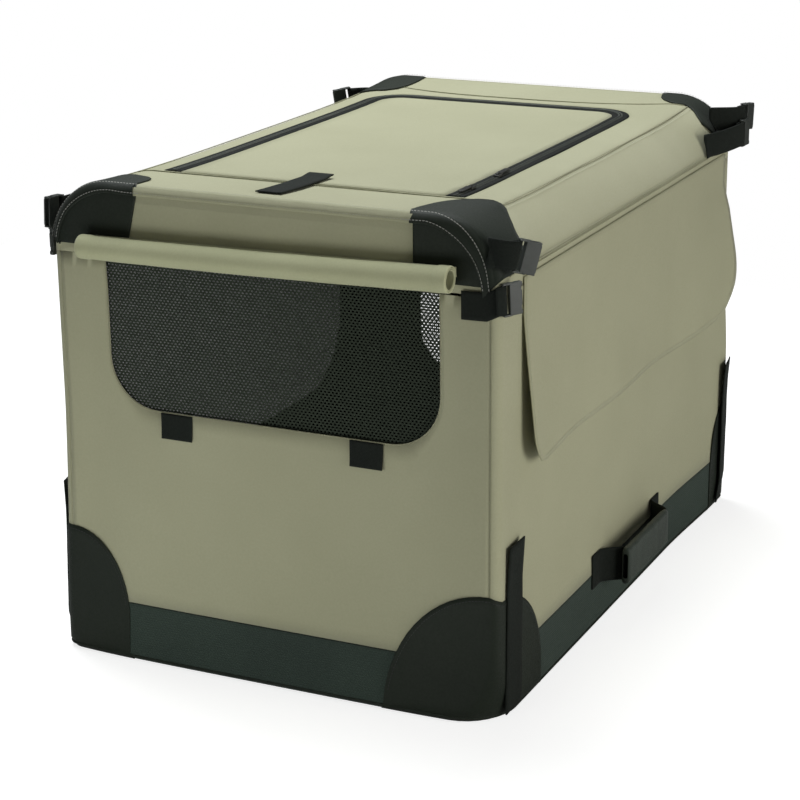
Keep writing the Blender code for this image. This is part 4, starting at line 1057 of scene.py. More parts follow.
@dataclass(frozen=True)
class BodyForm:
    """Main sizes of the cloth body and the shape of its roof cover.

    The round roof edges go a little flat between the two facet angles, away from the ends.
    """

    width: float = 0.640
    length: float = 0.940
    height: float = 0.669
    radius: float = 0.085
    end_round: float = 0.012
    sag: float = 0.010
    skirt: float = 0.571
    band: float = 0.085
    cloth: float = 0.0016
    gap: float = 0.0003
    patch: float = 0.0015
    foot_radius: float = 0.064
    tight_radius: float = 0.018
    foot_edge: float = 0.010
    front_low: float = 0.002
    rear_low: float = 0.005
    facet: Flat = (0.376, 1.470)
    facet_share: float = 0.7
    facet_end: float = 0.29
    facet_fade: float = 0.12
    foot_out: float = 0.008
    foot_back: float = 0.004
    foot_in: float = 0.0125
    foot_full: float = 0.010

    @property
    def flat_half(self) -> float:
        """Half width of the flat of the roof."""
        return self.width / 2 - self.radius

    @property
    def arc_run(self) -> float:
        """Length of cloth over one round edge."""
        return pi / 2 * self.radius

    @property
    def across_run(self) -> float:
        """Length of cloth from the middle of the roof to the skirt's hem."""
        return self.flat_half + self.arc_run + self.height - self.radius - self.skirt

    @property
    def end_flat(self) -> float:
        """Where the roof starts to turn down at an end."""
        return self.length / 2 - self.end_round

    @property
    def end_run(self) -> float:
        """Flat distance from the middle to the upright face of an end."""
        return self.end_flat + pi / 2 * self.end_round

    def fall(self, y: float) -> float:
        """How far the roof lies below its full height at a place along the crate."""
        place = max(-1.0, min(1.0, y / self.end_flat))
        lower = self.front_low + (self.rear_low - self.front_low) * smoothstep((place + 1) / 2)
        return lower + self.sag * (1 - place ** 4)

    def cover(self, s: float, t: float, lift: float = 0.0) -> Vector:
        """Place on the roof cover.

        Args:
            s: Distance over the cloth from the roof's middle line.
            t: Distance over the cloth from the roof's middle towards an end and down its face.
            lift: Distance off the cloth.

        Returns:
            The place in space.
        """
        side = 1 if s >= 0 else -1
        end = 1 if t >= 0 else -1
        over, past = abs(s), abs(t) - self.end_flat
        turn = self.end_round + lift
        if past <= 0:
            y, inset = abs(t), 0.0
        elif past < pi / 2 * self.end_round:
            angle = past / self.end_round
            y = self.end_flat + turn * sin(angle)
            inset = turn * (1 - cos(angle))
        else:
            y = self.end_flat + turn
            inset = turn + past - pi / 2 * self.end_round
        rail = self.height - self.radius - inset
        radius = self.radius + lift
        fall = self.fall(t)
        rise = radius - fall
        centre = self.flat_half - inset
        if over <= self.flat_half:
            x, z = centre * over / self.flat_half, rail + rise
        elif over <= self.flat_half + self.arc_run:
            angle = (over - self.flat_half) / self.radius
            x, z = centre + radius * sin(angle), rail + rise * cos(angle)
            near, far = self.facet
            part = (angle - near) / (far - near)
            if 0 < part < 1:
                flat = self.facet_share * (1 - smoothstep((abs(t) - self.facet_end) / self.facet_fade))
                x += flat * (centre + radius * (sin(near) * (1 - part) + sin(far) * part) - x)
                z += flat * (rail + rise * (cos(near) * (1 - part) + cos(far) * part) - z)
        else:
            x = centre + radius
            z = self.height - self.radius - inset - (over - self.flat_half - self.arc_run)
        return Vector((side * x, end * y, z))

    def cover_out(self, s: float, t: float) -> Vector:
        """Outward direction of the roof cover at a place.

        Args:
            s: Distance over the cloth from the middle line.
            t: Distance over the cloth towards an end.

        Returns:
            A unit vector.
        """
        return (self.cover(s, t, 0.001) - self.cover(s, t, 0.0)).normalized()

    def foot(self, z: float, lift: float = 0.0, tight: bool = False) -> tuple[float, float, float]:
        """Half width, half length and corner radius of the base at a height.

        Args:
            z: Height.
            lift: Distance off the cloth.
            tight: Whether the corner is one of the two with a small radius.

        Returns:
            The three sizes.
        """
        share = max(0.0, 1 - z / self.band)
        widest = self.tight_radius if tight else self.foot_radius
        radius = self.end_round + (widest - self.end_round) * share ** 1.6 + lift
        depth = min(self.foot_edge, max(0.0, self.foot_edge - z))
        inset = self.foot_edge - sqrt(self.foot_edge ** 2 - depth ** 2)
        return self.width / 2 + lift - inset, self.length / 2 + lift - inset, radius

    def corner_spot(self, corner: Corner, run: float, reach: float, z: float, lift: float) -> Vector:
        """Place near an upright corner of the base.

        Args:
            corner: Which corner.
            run: -1 to 0 along the end face, 0 to 1 round the corner, 1 to 2 along the long side.
            reach: Length of the runs along the faces.
            z: Height.
            lift: Distance off the cloth.

        Returns:
            The place in space.
        """
        half_x, half_y, radius = self.foot(z, lift, corner.side * corner.end > 0)
        if run < 0:
            x, y = half_x - radius + run * (reach - radius), half_y
        elif run <= 1:
            x = half_x - radius + radius * sin(pi / 2 * run)
            y = half_y - radius + radius * cos(pi / 2 * run)
        else:
            x, y = half_x, half_y - radius - (run - 1) * (reach - radius)
        return Vector((corner.side * x, corner.end * y, z))

    def settle(self, point: Vector) -> Vector:
        """Where a point of the soft base ends up.

        The front foot is fuller, the front left corner leans in and the rear right one stands out.

        Args:
            point: Place before settling.

        Returns:
            The settled place.
        """
        down = max(0.0, 1 - point.z / 0.36) ** 1.2
        low = max(0.0, 1 - point.z / 0.20)
        left = smoothstep((-point.x - 0.10) / 0.20) * smoothstep((-point.y - 0.20) / 0.25)
        right = smoothstep((point.x - 0.10) / 0.20) * smoothstep((point.y - 0.20) / 0.25)
        full = smoothstep((0.44 - point.z) / 0.20)
        front = smoothstep((-point.y - 0.40) / 0.06) * max(0.0, 1 - abs(point.x / 0.33) ** 5)
        out = self.foot_out * full * right - self.foot_in * down * left
        return point + Vector((out, self.foot_back * full * right - low * self.foot_full * front, 0))


BODY_CENTRE: Point = (0.0, 0.0, 0.33)
# Points of the base settle where they lie farther out than this
SOFT_X, SOFT_Y = 0.29, 0.42
# Ends of the cloth walls, the roof's travel, and the shares of height that are left when it is down
WALL_FOOT, WALL_TOP, ROOF_TRAVEL = 0.0853, 0.5707, 0.42
WALL_KEEP = (WALL_TOP - ROOF_TRAVEL - WALL_FOOT) / (WALL_TOP - WALL_FOOT)
FOOT_KEEP = 0.78
X_WAY, Z_WAY = Vector((1, 0, 0)), Vector((0, 0, 1))


@dataclass
class Assembly:
    """Common work of the sub-assemblies: pieces that ride on the model and stand for its nodes."""

    form: BodyForm
    wear: Wardrobe

    def fit(self, piece: Piece, body: str, slot: str, *nodes: str) -> Piece:
        """Make a piece ride on a body and stand for nodes.

        Args:
            piece: The finished piece.
            body: Body that carries it.
            slot: Material slot name; not used.
            nodes: Nodes that it stands for.

        Returns:
            The piece.
        """
        if body == "base" or body.endswith("_hook"):
            for vertex in piece.data.vertices:
                if abs(vertex.co.x) > SOFT_X or abs(vertex.co.y) > SOFT_Y:
                    vertex.co = self.form.settle(vertex.co)
        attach(piece, body)
        if nodes:
            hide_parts(*nodes)
        log.info("%s rides on %s", piece.name, body)
        return piece

    def shorten(self, piece: Piece, anchor: float, keep: float) -> Piece:
        """Give a wall piece its own copy of its mesh."""
        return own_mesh(piece)

    def fit_wall(self, piece: Piece, body: str, slot: str, *nodes: str) -> None:
        """Fit a piece of the cloth walls and give it its own copy of its mesh."""
        self.shorten(self.fit(piece, body, slot, *nodes), WALL_FOOT, WALL_KEEP)

    def shade_inside(self, cloth: Cloth, name: str) -> Piece:
        """Make a piece of sage cloth whose inner side is coloured dark, a painted shade for the inside of the crate.
        """
        return cloth.build(name, [self.wear.sage, self.wear.inner_shade], self.form.cloth, BODY_CENTRE)


def patch_inner(side: int, end: int) -> float:
    """How far from the middle line a top corner's patch starts, over the cloth of an end."""
    if end < 0:
        return 0.202 if side > 0 else 0.190
    return 0.212 if side > 0 else 0.203


def blend_table(table: Sequence[Flat], place: float) -> float:
    """Value of a table of places and values, straight between them.

    Args:
        table: Places with their values, in rising order.
        place: Where to look.

    Returns:
        The value there.
    """
    if place <= table[0][0]:
        return table[0][1]
    for (a, low), (b, high) in zip(table, table[1:]):
        if place <= b:
            return low + (high - low) * (place - a) / (b - a)
    return table[-1][1]


# Roof


@dataclass
class Roof(Assembly):
    """Roof cover, its zipped door, the zip with its sliders, and the strap on its front."""

    door_half: float = 0.220
    door_front: float = -0.335
    door_rear: float = 0.340
    door_radius: float = 0.060
    door_shift: float = -0.0055
    zip_width: float = 0.026
    mid_run: float = 0.262
    step: float = 0.018
    stitch_reach: float = 0.3575
    second_row: float = 0.006
    patch_lift: float = 0.0050
    sage_lift: float = 0.0030
    hem_lap: float = 0.014
    hem_lift: float = 0.0018
    seam_front: float = -0.345
    seam_rear: float = 0.366
    seam_side: float = 0.267
    shoulder_seam: float = 0.3602
    strap_x: float = -0.012
    strap_width: float = 0.036
    strap_front: float = -0.438
    strap_rear: float = -0.288

    def surface(self, s: float, t: float) -> Vector:
        """Place on the cover with its soft dents, which only go inward.

        Args:
            s: Distance over the cloth from the middle line.
            t: Distance towards an end.

        Returns:
            The place in space.
        """
        point = self.form.cover(s, t)
        calm = smoothstep((self.form.end_flat - abs(t)) / 0.08)
        depth = 0.0016 * calm * (0.5 + 0.5 * ripple(point, 0.16, 5.0))
        return point - self.form.cover_out(s, t) * depth

    def build(self) -> None:
        """Make every piece of the roof."""
        self.make_cover()
        self.make_door()
        self.make_zip()
        self.make_seams()
        self.make_strap()
        for label, y, way in (("front", -0.285, -1), ("rear", -0.195, 1)):
            self.make_slider(label, y, way)

    def make_cover(self) -> None:
        """The cover with its doorway, round edges and upright ends."""
        form = self.form
        cloth = Cloth()
        left, right = self.door_shift - self.door_half, self.door_shift + self.door_half
        doorway = rounded_outline((left, self.door_front), (right, self.door_rear),
                                  (0, 0, self.door_radius, self.door_radius), 12)
        low, high = (-self.mid_run, -form.end_flat), (self.mid_run, form.end_flat)
        outer = edge_points(low, high, self.step)
        rows = ring_between(doorway, outer, 7, lambda flat: self.surface(*flat))
        cloth.grid(rows, wrap=True)
        ts = spread(low[1], high[1], max(1, round((high[1] - low[1]) / self.step)))
        shoulder = spread(self.mid_run, form.across_run, 14)
        for side in (-1, 1):
            cloth.grid([[(self.surface(side * s, t), (side * s, t)) for t in ts] for s in shoulder])
        middle = spread(low[0], high[0], max(1, round((high[0] - low[0]) / self.step)))
        full = [-s for s in shoulder[:0:-1]] + middle + shoulder[1:]
        for end in (-1, 1):
            turn = [end * t for t in spread(form.end_flat, form.end_run, 6)]
            cloth.grid([[(self.surface(s, t), (s, t)) for s in full] for t in turn])
            rows = []
            for share in spread(0, 1, 8):
                row: Row = []
                for s in full:
                    top = form.cover(s, end * form.end_run)
                    z = top.z + (form.skirt - top.z) * share
                    soft = 0.5 + 0.5 * ripple(Vector((top.x, z, 0)), 0.1, 2.0)
                    bulge = 0.0012 * sin(pi * share) * soft
                    row.append((Vector((top.x, top.y - end * bulge, z)), (top.x, z)))
                rows.append(row)
            cloth.grid(rows)
        cover = self.shade_inside(cloth, "roof_cover")
        self.fit(cover, "roof", "sage_cloth", "roof_panel")

    def door_row(self, t: float, half: float, rear: float, radius: float) -> float:
        """Half width of the door at a place along it."""
        past = max(0.0, t - (rear - radius))
        return half - radius + sqrt(max(0.0, radius ** 2 - past ** 2))

    def make_door(self) -> None:
        """The leaf inside the zip, slightly slack."""
        half = self.door_half - self.zip_width - self.form.gap
        rear = self.door_rear - self.zip_width - self.form.gap
        radius = self.door_radius - self.zip_width
        rows = []
        ts = spread(self.door_front, rear - radius, 30)
        ts += [rear - radius + radius * sin(a) for a in spread(0, pi / 2, 8)][1:]
        for t in ts:
            width = self.door_row(t, half, rear, radius)
            row: Row = []
            for share in spread(-1, 1, 24):
                s = share * width + self.door_shift
                calm = smoothstep((rear - t) / 0.1) * smoothstep((t - self.door_front) / 0.1)
                slack = 0.0022 * (1 - share ** 4) * calm
                dent = slack * (0.6 + 0.4 * ripple(Vector((s, t, 0)), 0.12, 7.0))
                row.append((self.form.cover(s, t) - Vector((0, 0, dent)), (s, t)))
            rows.append(row)
        leaf = self.shade_inside(Cloth().grid(rows), "roof_leaf")
        self.fit(leaf, "roof_hatch", "sage_cloth", "roof_door")

    def zip_path(self, inset: float, step: float = 0.008) -> list[Flat]:
        """Line around the doorway at an inset, from the front left to the front right.

        Args:
            inset: Distance inside the doorway.
            step: Distance between the points of the straight runs.

        Returns:
            Places over the cloth.
        """
        half, rear = self.door_half - inset, self.door_rear - inset
        radius = self.door_radius - inset
        left = arc(-half + radius, rear - radius, radius, 180, 90, 10)
        right = arc(half - radius, rear - radius, radius, 90, 0, 10)
        ts = spread(self.door_front, rear - radius, round((rear - radius - self.door_front) / step))
        path = [(-half, t) for t in ts[:-1]] + left
        path += [(s, rear) for s in spread(-half + radius, half - radius, 40)[1:-1]]
        path += right + [(half, t) for t in ts[-2::-1]]
        return [(s + self.door_shift, t) for s, t in path]

    def make_zip(self) -> None:
        """Black tapes with a coil down the middle."""
        insets = (0.0, 0.004, 0.0085, 0.0105, 0.0125, 0.0135, 0.0155, 0.0175, 0.022, self.zip_width)
        lifts = (0.0, 0.0006, 0.0007, 0.0002, -0.0004, -0.0004, 0.0002, 0.0007, 0.0006, 0.0)
        columns = [self.zip_path(inset) for inset in insets]
        rows = [[(self.form.cover(*column[k], lift), (inset, k * 0.008))
                 for inset, lift, column in zip(insets, lifts, columns)] for k in range(len(columns[0]))]
        tape = Cloth().grid(rows).build("roof_zip_tape", [self.wear.tape], self.form.cloth, BODY_CENTRE)
        self.fit(tape, "roof", "zip_tape", "roof_zip")
        paths = [self.zip_path(self.zip_width / 2 + shift, 0.004) for shift in (-0.0021, 0.0021)]
        lines = [[self.form.cover(s, t, 0.0005) for s, t in path] for path in paths]
        coil = cord_piece("roof_zip_coil", lines, 0.0014, self.wear.coil, 8)
        self.fit(coil, "roof", "zip_tape")

    def stitch_line(self, flats: Sequence[Flat], lift: float) -> Line:
        """Places over the cloth, lifted off it, with the outward direction at each."""
        return [(self.form.cover(s, t, lift), self.form.cover_out(s, t)) for s, t in flats]

    def make_seams(self) -> None:
        """Seam lines over the cover, with their stitches."""
        form, reach = self.form, self.stitch_reach
        pale: list[Line] = []
        sage: list[Line] = []
        cords: list[list[Vector]] = []
        for end in (-1, 1):
            left, right = -patch_inner(-1, end), patch_inner(1, end)
            parts = ((-reach, left, pale, self.patch_lift), (left, right, sage, self.sage_lift),
                     (right, reach, pale, self.patch_lift))
            for row in (0.0, 1.0):
                short = row * self.second_row
                for low, high, lines, lift in parts:
                    run = [(s, end * (form.end_flat + self.edge_run(s, end) + row * self.row_gap(s, end)))
                           for s in spread(max(low, short - reach), min(high, reach - short), 70)]
                    lines.append(self.stitch_line(run, lift))
            self.make_hem(end, left - self.hem_lap, right + self.hem_lap, 0.0, self.wear.sage, "sage_cloth")
            self.make_hem(end, -reach, left, self.hem_lift, self.wear.patch, "dark_cloth")
            self.make_hem(end, right, reach, self.hem_lift, self.wear.patch, "dark_cloth")
        across = self.mid_run
        cords.append([form.cover(s, self.seam_front, 0.0) for s in spread(-across, across, 40)])
        cords.append([form.cover(s, self.seam_rear + 0.05 * (abs(s) / 0.27) ** 3, 0.0)
                      for s in spread(-across, across, 50)])
        for side in (-1, 1):
            low, high = (-0.345, 0.414) if side > 0 else (-0.414, 0.345)
            ts = spread(low, high, 60)
            cords.append([form.cover(side * self.seam_side, t, 0.0) for t in ts])
            sage.append(self.stitch_line([(side * 0.274, t) for t in ts], 0.0003))
            cords.append([form.cover(side * self.shoulder_seam, t, 0.0004) for t in spread(-0.440, 0.448, 70)])
            sage.append(self.stitch_line([(side * 0.356, t) for t in spread(-0.42, 0.43, 60)], 0.0003))
        self.fit(cord_piece("roof_seams", cords, 0.0008, self.wear.sage_seam, 6), "roof", "sage_cloth")
        self.fit(stitch_piece("roof_stitches", sage, self.wear.sage_thread), "roof", "sage_cloth")
        self.fit(stitch_piece("patch_stitches", pale, self.wear.thread), "roof", "dark_cloth")

    def edge_run(self, s: float, end: int) -> float:
        """How far past the start of an end's turn the upper stitch row lies."""
        outward = min(1.0, max(0.0, (abs(s) - 0.235) / 0.115))
        return 0.007 + (0.0115 if s * end < 0 else 0.0035) * outward

    def row_gap(self, s: float, end: int) -> float:
        """Distance between the two stitch rows of an end."""
        outward = min(1.0, max(0.0, (abs(s) - 0.215) / 0.10))
        return 0.009 - (0.0020 if s * end < 0 else 0.0040) * outward

    def make_hem(self, end: int, low: float, high: float, lift: float, material: Material,
                 slot: str) -> None:
        """A raised strip of folded cloth between the two stitch rows of an end.

        Args:
            end: 1 at the rear, -1 at the front.
            low: Where it starts, over the cloth from the middle line.
            high: Where it stops.
            lift: Height of the cloth under it.
            material: Finish.
            slot: Material slot name, also used in the piece's name.
        """
        profile = ((-0.0060, 0.0001), (-0.0050, 0.0008), (-0.0010, 0.0012), (0.0030, 0.0020),
                   (0.0080, 0.0027), (0.0108, 0.0026), (0.0122, 0.0018), (0.0126, 0.0001))
        rows: list[Row] = []
        for s in spread(low, high, max(4, round((high - low) / 0.010))):
            part = self.row_gap(s, end) / 0.009
            near = max(0.0, 1 - (abs(s) - min(abs(low), abs(high))) / 0.030) if lift else 0.0
            slant = 0.014 * near * (1 if s > 0 else -1)
            start = self.form.end_flat + self.edge_run(s, end)
            rows.append([(self.form.cover(s + slant * (off + 0.006) / 0.0186, end * (start + off * part), lift + up),
                          (s, off)) for off, up in profile])
        name = f"hem_{'rear' if end > 0 else 'front'}_{slot}"
        strip = Cloth().grid(rows).build(name, [material], 0.0, BODY_CENTRE)
        self.fit(strip, "roof", slot)

    def make_strap(self) -> None:
        """The webbing strap that holds the rolled roof door, with a loose end."""
        low, high = self.strap_front, self.strap_rear
        path = []
        for y in spread(low, high, 24):
            loose = smoothstep(((y - low) / (high - low) - 0.82) / 0.18)
            wave = 0.5 + 0.5 * ripple(Vector((0, y, 0)), 0.04, 1.0)
            path.append(self.form.cover(self.strap_x, y, 0.0010 + 0.0022 * loose + 0.0006 * wave))
        strap = band_piece("roof_strap", path, lambda i: X_WAY, lambda share: self.strap_width / 2,
                           self.wear.webbing, 0.0018, 6, 1.0)
        self.fit(strap, "roof_hold", "webbing", "roof_tab")

    def make_slider(self, label: str, y: float, way: int) -> None:
        """A zip slider with its pull.

        Args:
            label: Which slider.
            y: Place along the zip.
            way: Direction that its pull points.
        """
        x = self.door_half - self.zip_width / 2 + self.door_shift
        low = self.form.cover(x, y).z + 0.0012
        place: Place = lambda u, v, w: Vector((x + u, y + way * v, low + w))
        parts = []
        for name, start, end, radii, steps, bottom, top, bevel in (
            ("wings", (-0.0052, -0.007), (0.0052, 0.007), (0.003, 0.003, 0.0015, 0.0015), 4, 0.0, 0.0034, 0.0007),
            ("arch", (-0.0016, -0.005), (0.0016, 0.005), (0.001,) * 4, 3, 0.0034, 0.0052, 0.0005),
            ("pull", (-0.0042, 0.004), (0.0042, 0.036), (0.002, 0.002, 0.004, 0.004), 4, 0.0030, 0.0046, 0.0005),
        ):
            outline = rounded_outline(start, end, radii, steps)
            parts.append(slab_piece(name, outline, bottom, top, place, self.wear.metal, bevel))
        slider = join_pieces(parts, "slider_" + label)
        self.fit(slider, label + "_slider", "zip_slider", "roof_slider_" + label)


# Corners


@dataclass
class CornerPatches(Assembly):
    """Dark patches over the top corners and the base corners.

    edges holds each top patch's outline over the roof, as distances from the middle line and towards the end.
    faces holds how far its inner edge lies out on the end face, high and low. feet holds reach, height and the
    height of the round part's centre of each base patch, on the end and on the long side.
    """

    bottom: float = 0.5832
    side_bottom: float = 0.594
    foot_z: float = 0.0015
    edges: dict[Corner, tuple[Flat, ...]] = field(default_factory=lambda: {
        Corner.FRONT_RIGHT: (
            (0.197, 0.432), (0.200, 0.402), (0.207, 0.378), (0.217, 0.361), (0.237, 0.346),
            (0.255, 0.335), (0.275, 0.339), (0.292, 0.359), (0.311, 0.377), (0.345, 0.384)),
        Corner.FRONT_LEFT: (
            (0.192, 0.452), (0.194, 0.430), (0.199, 0.412), (0.2085, 0.402), (0.230, 0.394),
            (0.270, 0.390), (0.310, 0.398), (0.350, 0.412)),
        Corner.REAR_RIGHT: (
            (0.213, 0.448), (0.216, 0.434), (0.225, 0.4205), (0.237, 0.410), (0.249, 0.405), (0.264, 0.414),
            (0.278, 0.408), (0.292, 0.396), (0.307, 0.388), (0.326, 0.400), (0.350, 0.405)),
        Corner.REAR_LEFT: (
            (0.200, 0.430), (0.203, 0.400), (0.210, 0.375), (0.225, 0.356), (0.255, 0.345),
            (0.290, 0.362), (0.320, 0.380), (0.350, 0.386)),
    })
    faces: dict[Corner, Flat] = field(default_factory=lambda: {
        Corner.FRONT_RIGHT: (0.205, 0.205), Corner.FRONT_LEFT: (0.187, 0.204),
        Corner.REAR_RIGHT: (0.200, 0.206), Corner.REAR_LEFT: (0.205, 0.205)})
    feet: dict[Corner, tuple[Point, Point]] = field(default_factory=lambda: {
        Corner.FRONT_RIGHT: ((0.160, 0.180, 0.0), (0.146, 0.172, 0.034)),
        Corner.FRONT_LEFT: ((0.104, 0.184, 0.060), (0.110, 0.184, 0.050)),
        Corner.REAR_RIGHT: ((0.104, 0.178, 0.050), (0.080, 0.176, 0.060)),
        Corner.REAR_LEFT: ((0.160, 0.180, 0.0), (0.146, 0.172, 0.034))})

    def build(self) -> None:
        """Make all eight patches."""
        for corner in Corner:
            self.make_top(corner)
            self.make_foot(corner)

    def make_top(self, corner: Corner) -> None:
        """A patch that wraps the roof corner, the shoulder and the end face.

        Args:
            corner: Which corner.
        """
        form = self.form
        lift = form.gap + form.patch
        turned = (self.side_bottom - form.height + form.radius) / form.radius
        last = form.flat_half + form.radius * acos(turned)
        edge = self.edges[corner]
        inner = edge[0][0]
        columns = spread(inner, inner + 0.030, 8) + spread(inner + 0.030, last, 24)[1:]
        table: list[Row] = []
        for s in columns:
            row: Row = []
            roof = spread(blend_table(edge, s), form.end_flat, 10)
            for t in roof + spread(form.end_flat, form.end_run, 5)[1:]:
                share = max(0.0, (t - form.end_flat) / (form.end_run - form.end_flat))
                row.append((self.on_face(corner, s, last, t, lift, share, 0.0), (s, t)))
            for share in spread(0, 1, 8)[1:]:
                row.append((self.on_face(corner, s, last, form.end_run, lift, 1.0, share),
                            (s, form.end_run + 0.08 * share)))
            table.append(row)
        patch = Cloth().grid(table).build("top_corner_" + corner.label, [self.wear.patch], form.patch,
                                          BODY_CENTRE)
        self.fit(patch, "roof", "dark_cloth", "top_patch_" + corner.label)

    def on_face(self, corner: Corner, s: float, last: float, t: float, lift: float, turned: float,
                down: float) -> Vector:
        """Place on a top patch, whose inner edge slants over the end face.

        Args:
            corner: Which corner.
            s: Distance over the cloth from the middle line.
            last: Distance at which the patch stops.
            t: Distance over the cloth towards the end.
            lift: Distance off the cloth.
            turned: 0 on the roof, 1 on the upright end face.
            down: 0 at the top of the end face, 1 at the patch's lower edge.

        Returns:
            The place in space.
        """
        form = self.form
        spot = form.cover(s, corner.end * t, lift)
        if turned > 0:
            high, low = self.faces[corner]
            first = self.edges[corner][0][0]
            now = form.cover(first, corner.end * t, lift).x
            outer = form.cover(last, corner.end * t, lift).x
            goal = now + (high + (low - high) * down - now) * turned
            spot.x = outer - (outer - spot.x) * (outer - goal) / (outer - now)
        spot.z += (self.bottom - spot.z) * down
        return Vector((corner.side * spot.x, spot.y, spot.z))

    def foot_shape(self, corner: Corner, run: float) -> Flat:
        """Reach and height of a base patch at a place round the corner.

        Args:
            corner: Which corner.
            run: Place round it, from -1 to 2.

        Returns:
            Reach and height.
        """
        at_end, at_side = self.feet[corner]
        if 0 <= run <= 1:
            return between(at_end[:2], at_side[:2], run)
        reach, height, centre = at_end if run < 0 else at_side
        away = -run if run < 0 else run - 1
        return reach, max(0.012, centre + (height - centre) * sqrt(max(0.0, 1 - away ** 2)))

    def make_foot(self, corner: Corner) -> None:
        """A quarter-round patch over a base corner, with its edge stitches.

        Args:
            corner: Which corner.
        """
        form = self.form
        lift = form.gap + form.patch
        turns = spread(0, pi / 2, 16)
        runs = [-sin(a) for a in spread(pi / 2, 0, 16)][:-1] + spread(0, 1, 8) + [1 + sin(a) for a in turns][1:]
        table: list[Row] = []
        edge: Line = []
        for run in runs:
            reach, top = self.foot_shape(corner, run)
            row: Row = []
            for share in spread(0, 1, 16):
                z = self.foot_z + (top - self.foot_z) * share
                spot = form.corner_spot(corner, run, reach, z, lift)
                row.append((spot, (run * reach, z)))
            table.append(row)
            inside = run * 0.965 if run < 0 else 1 + (run - 1) * 0.965 if run > 1 else run
            near = form.corner_spot(corner, inside, reach, max(0.02, top - 0.005), lift + 0.0002)
            round_x, round_y = max(0.0, min(1.0, run)), max(0.0, min(1.0, 1 - run))
            edge.append((near, Vector((corner.side * round_x, corner.end * round_y, 0)).normalized()))
        patch = Cloth().grid(table).build("foot_corner_" + corner.label, [self.wear.patch], form.patch,
                                          BODY_CENTRE)
        self.fit(patch, "base", "dark_cloth", "base_patch_" + corner.label)
        self.shorten(patch, self.foot_z, FOOT_KEEP)
        stitches = stitch_piece("foot_stitches_" + corner.label, [edge[2:-2]], self.wear.dark_thread)
        self.fit(stitches, "base", "dark_cloth")
        self.shorten(stitches, self.foot_z, FOOT_KEEP)


# Base


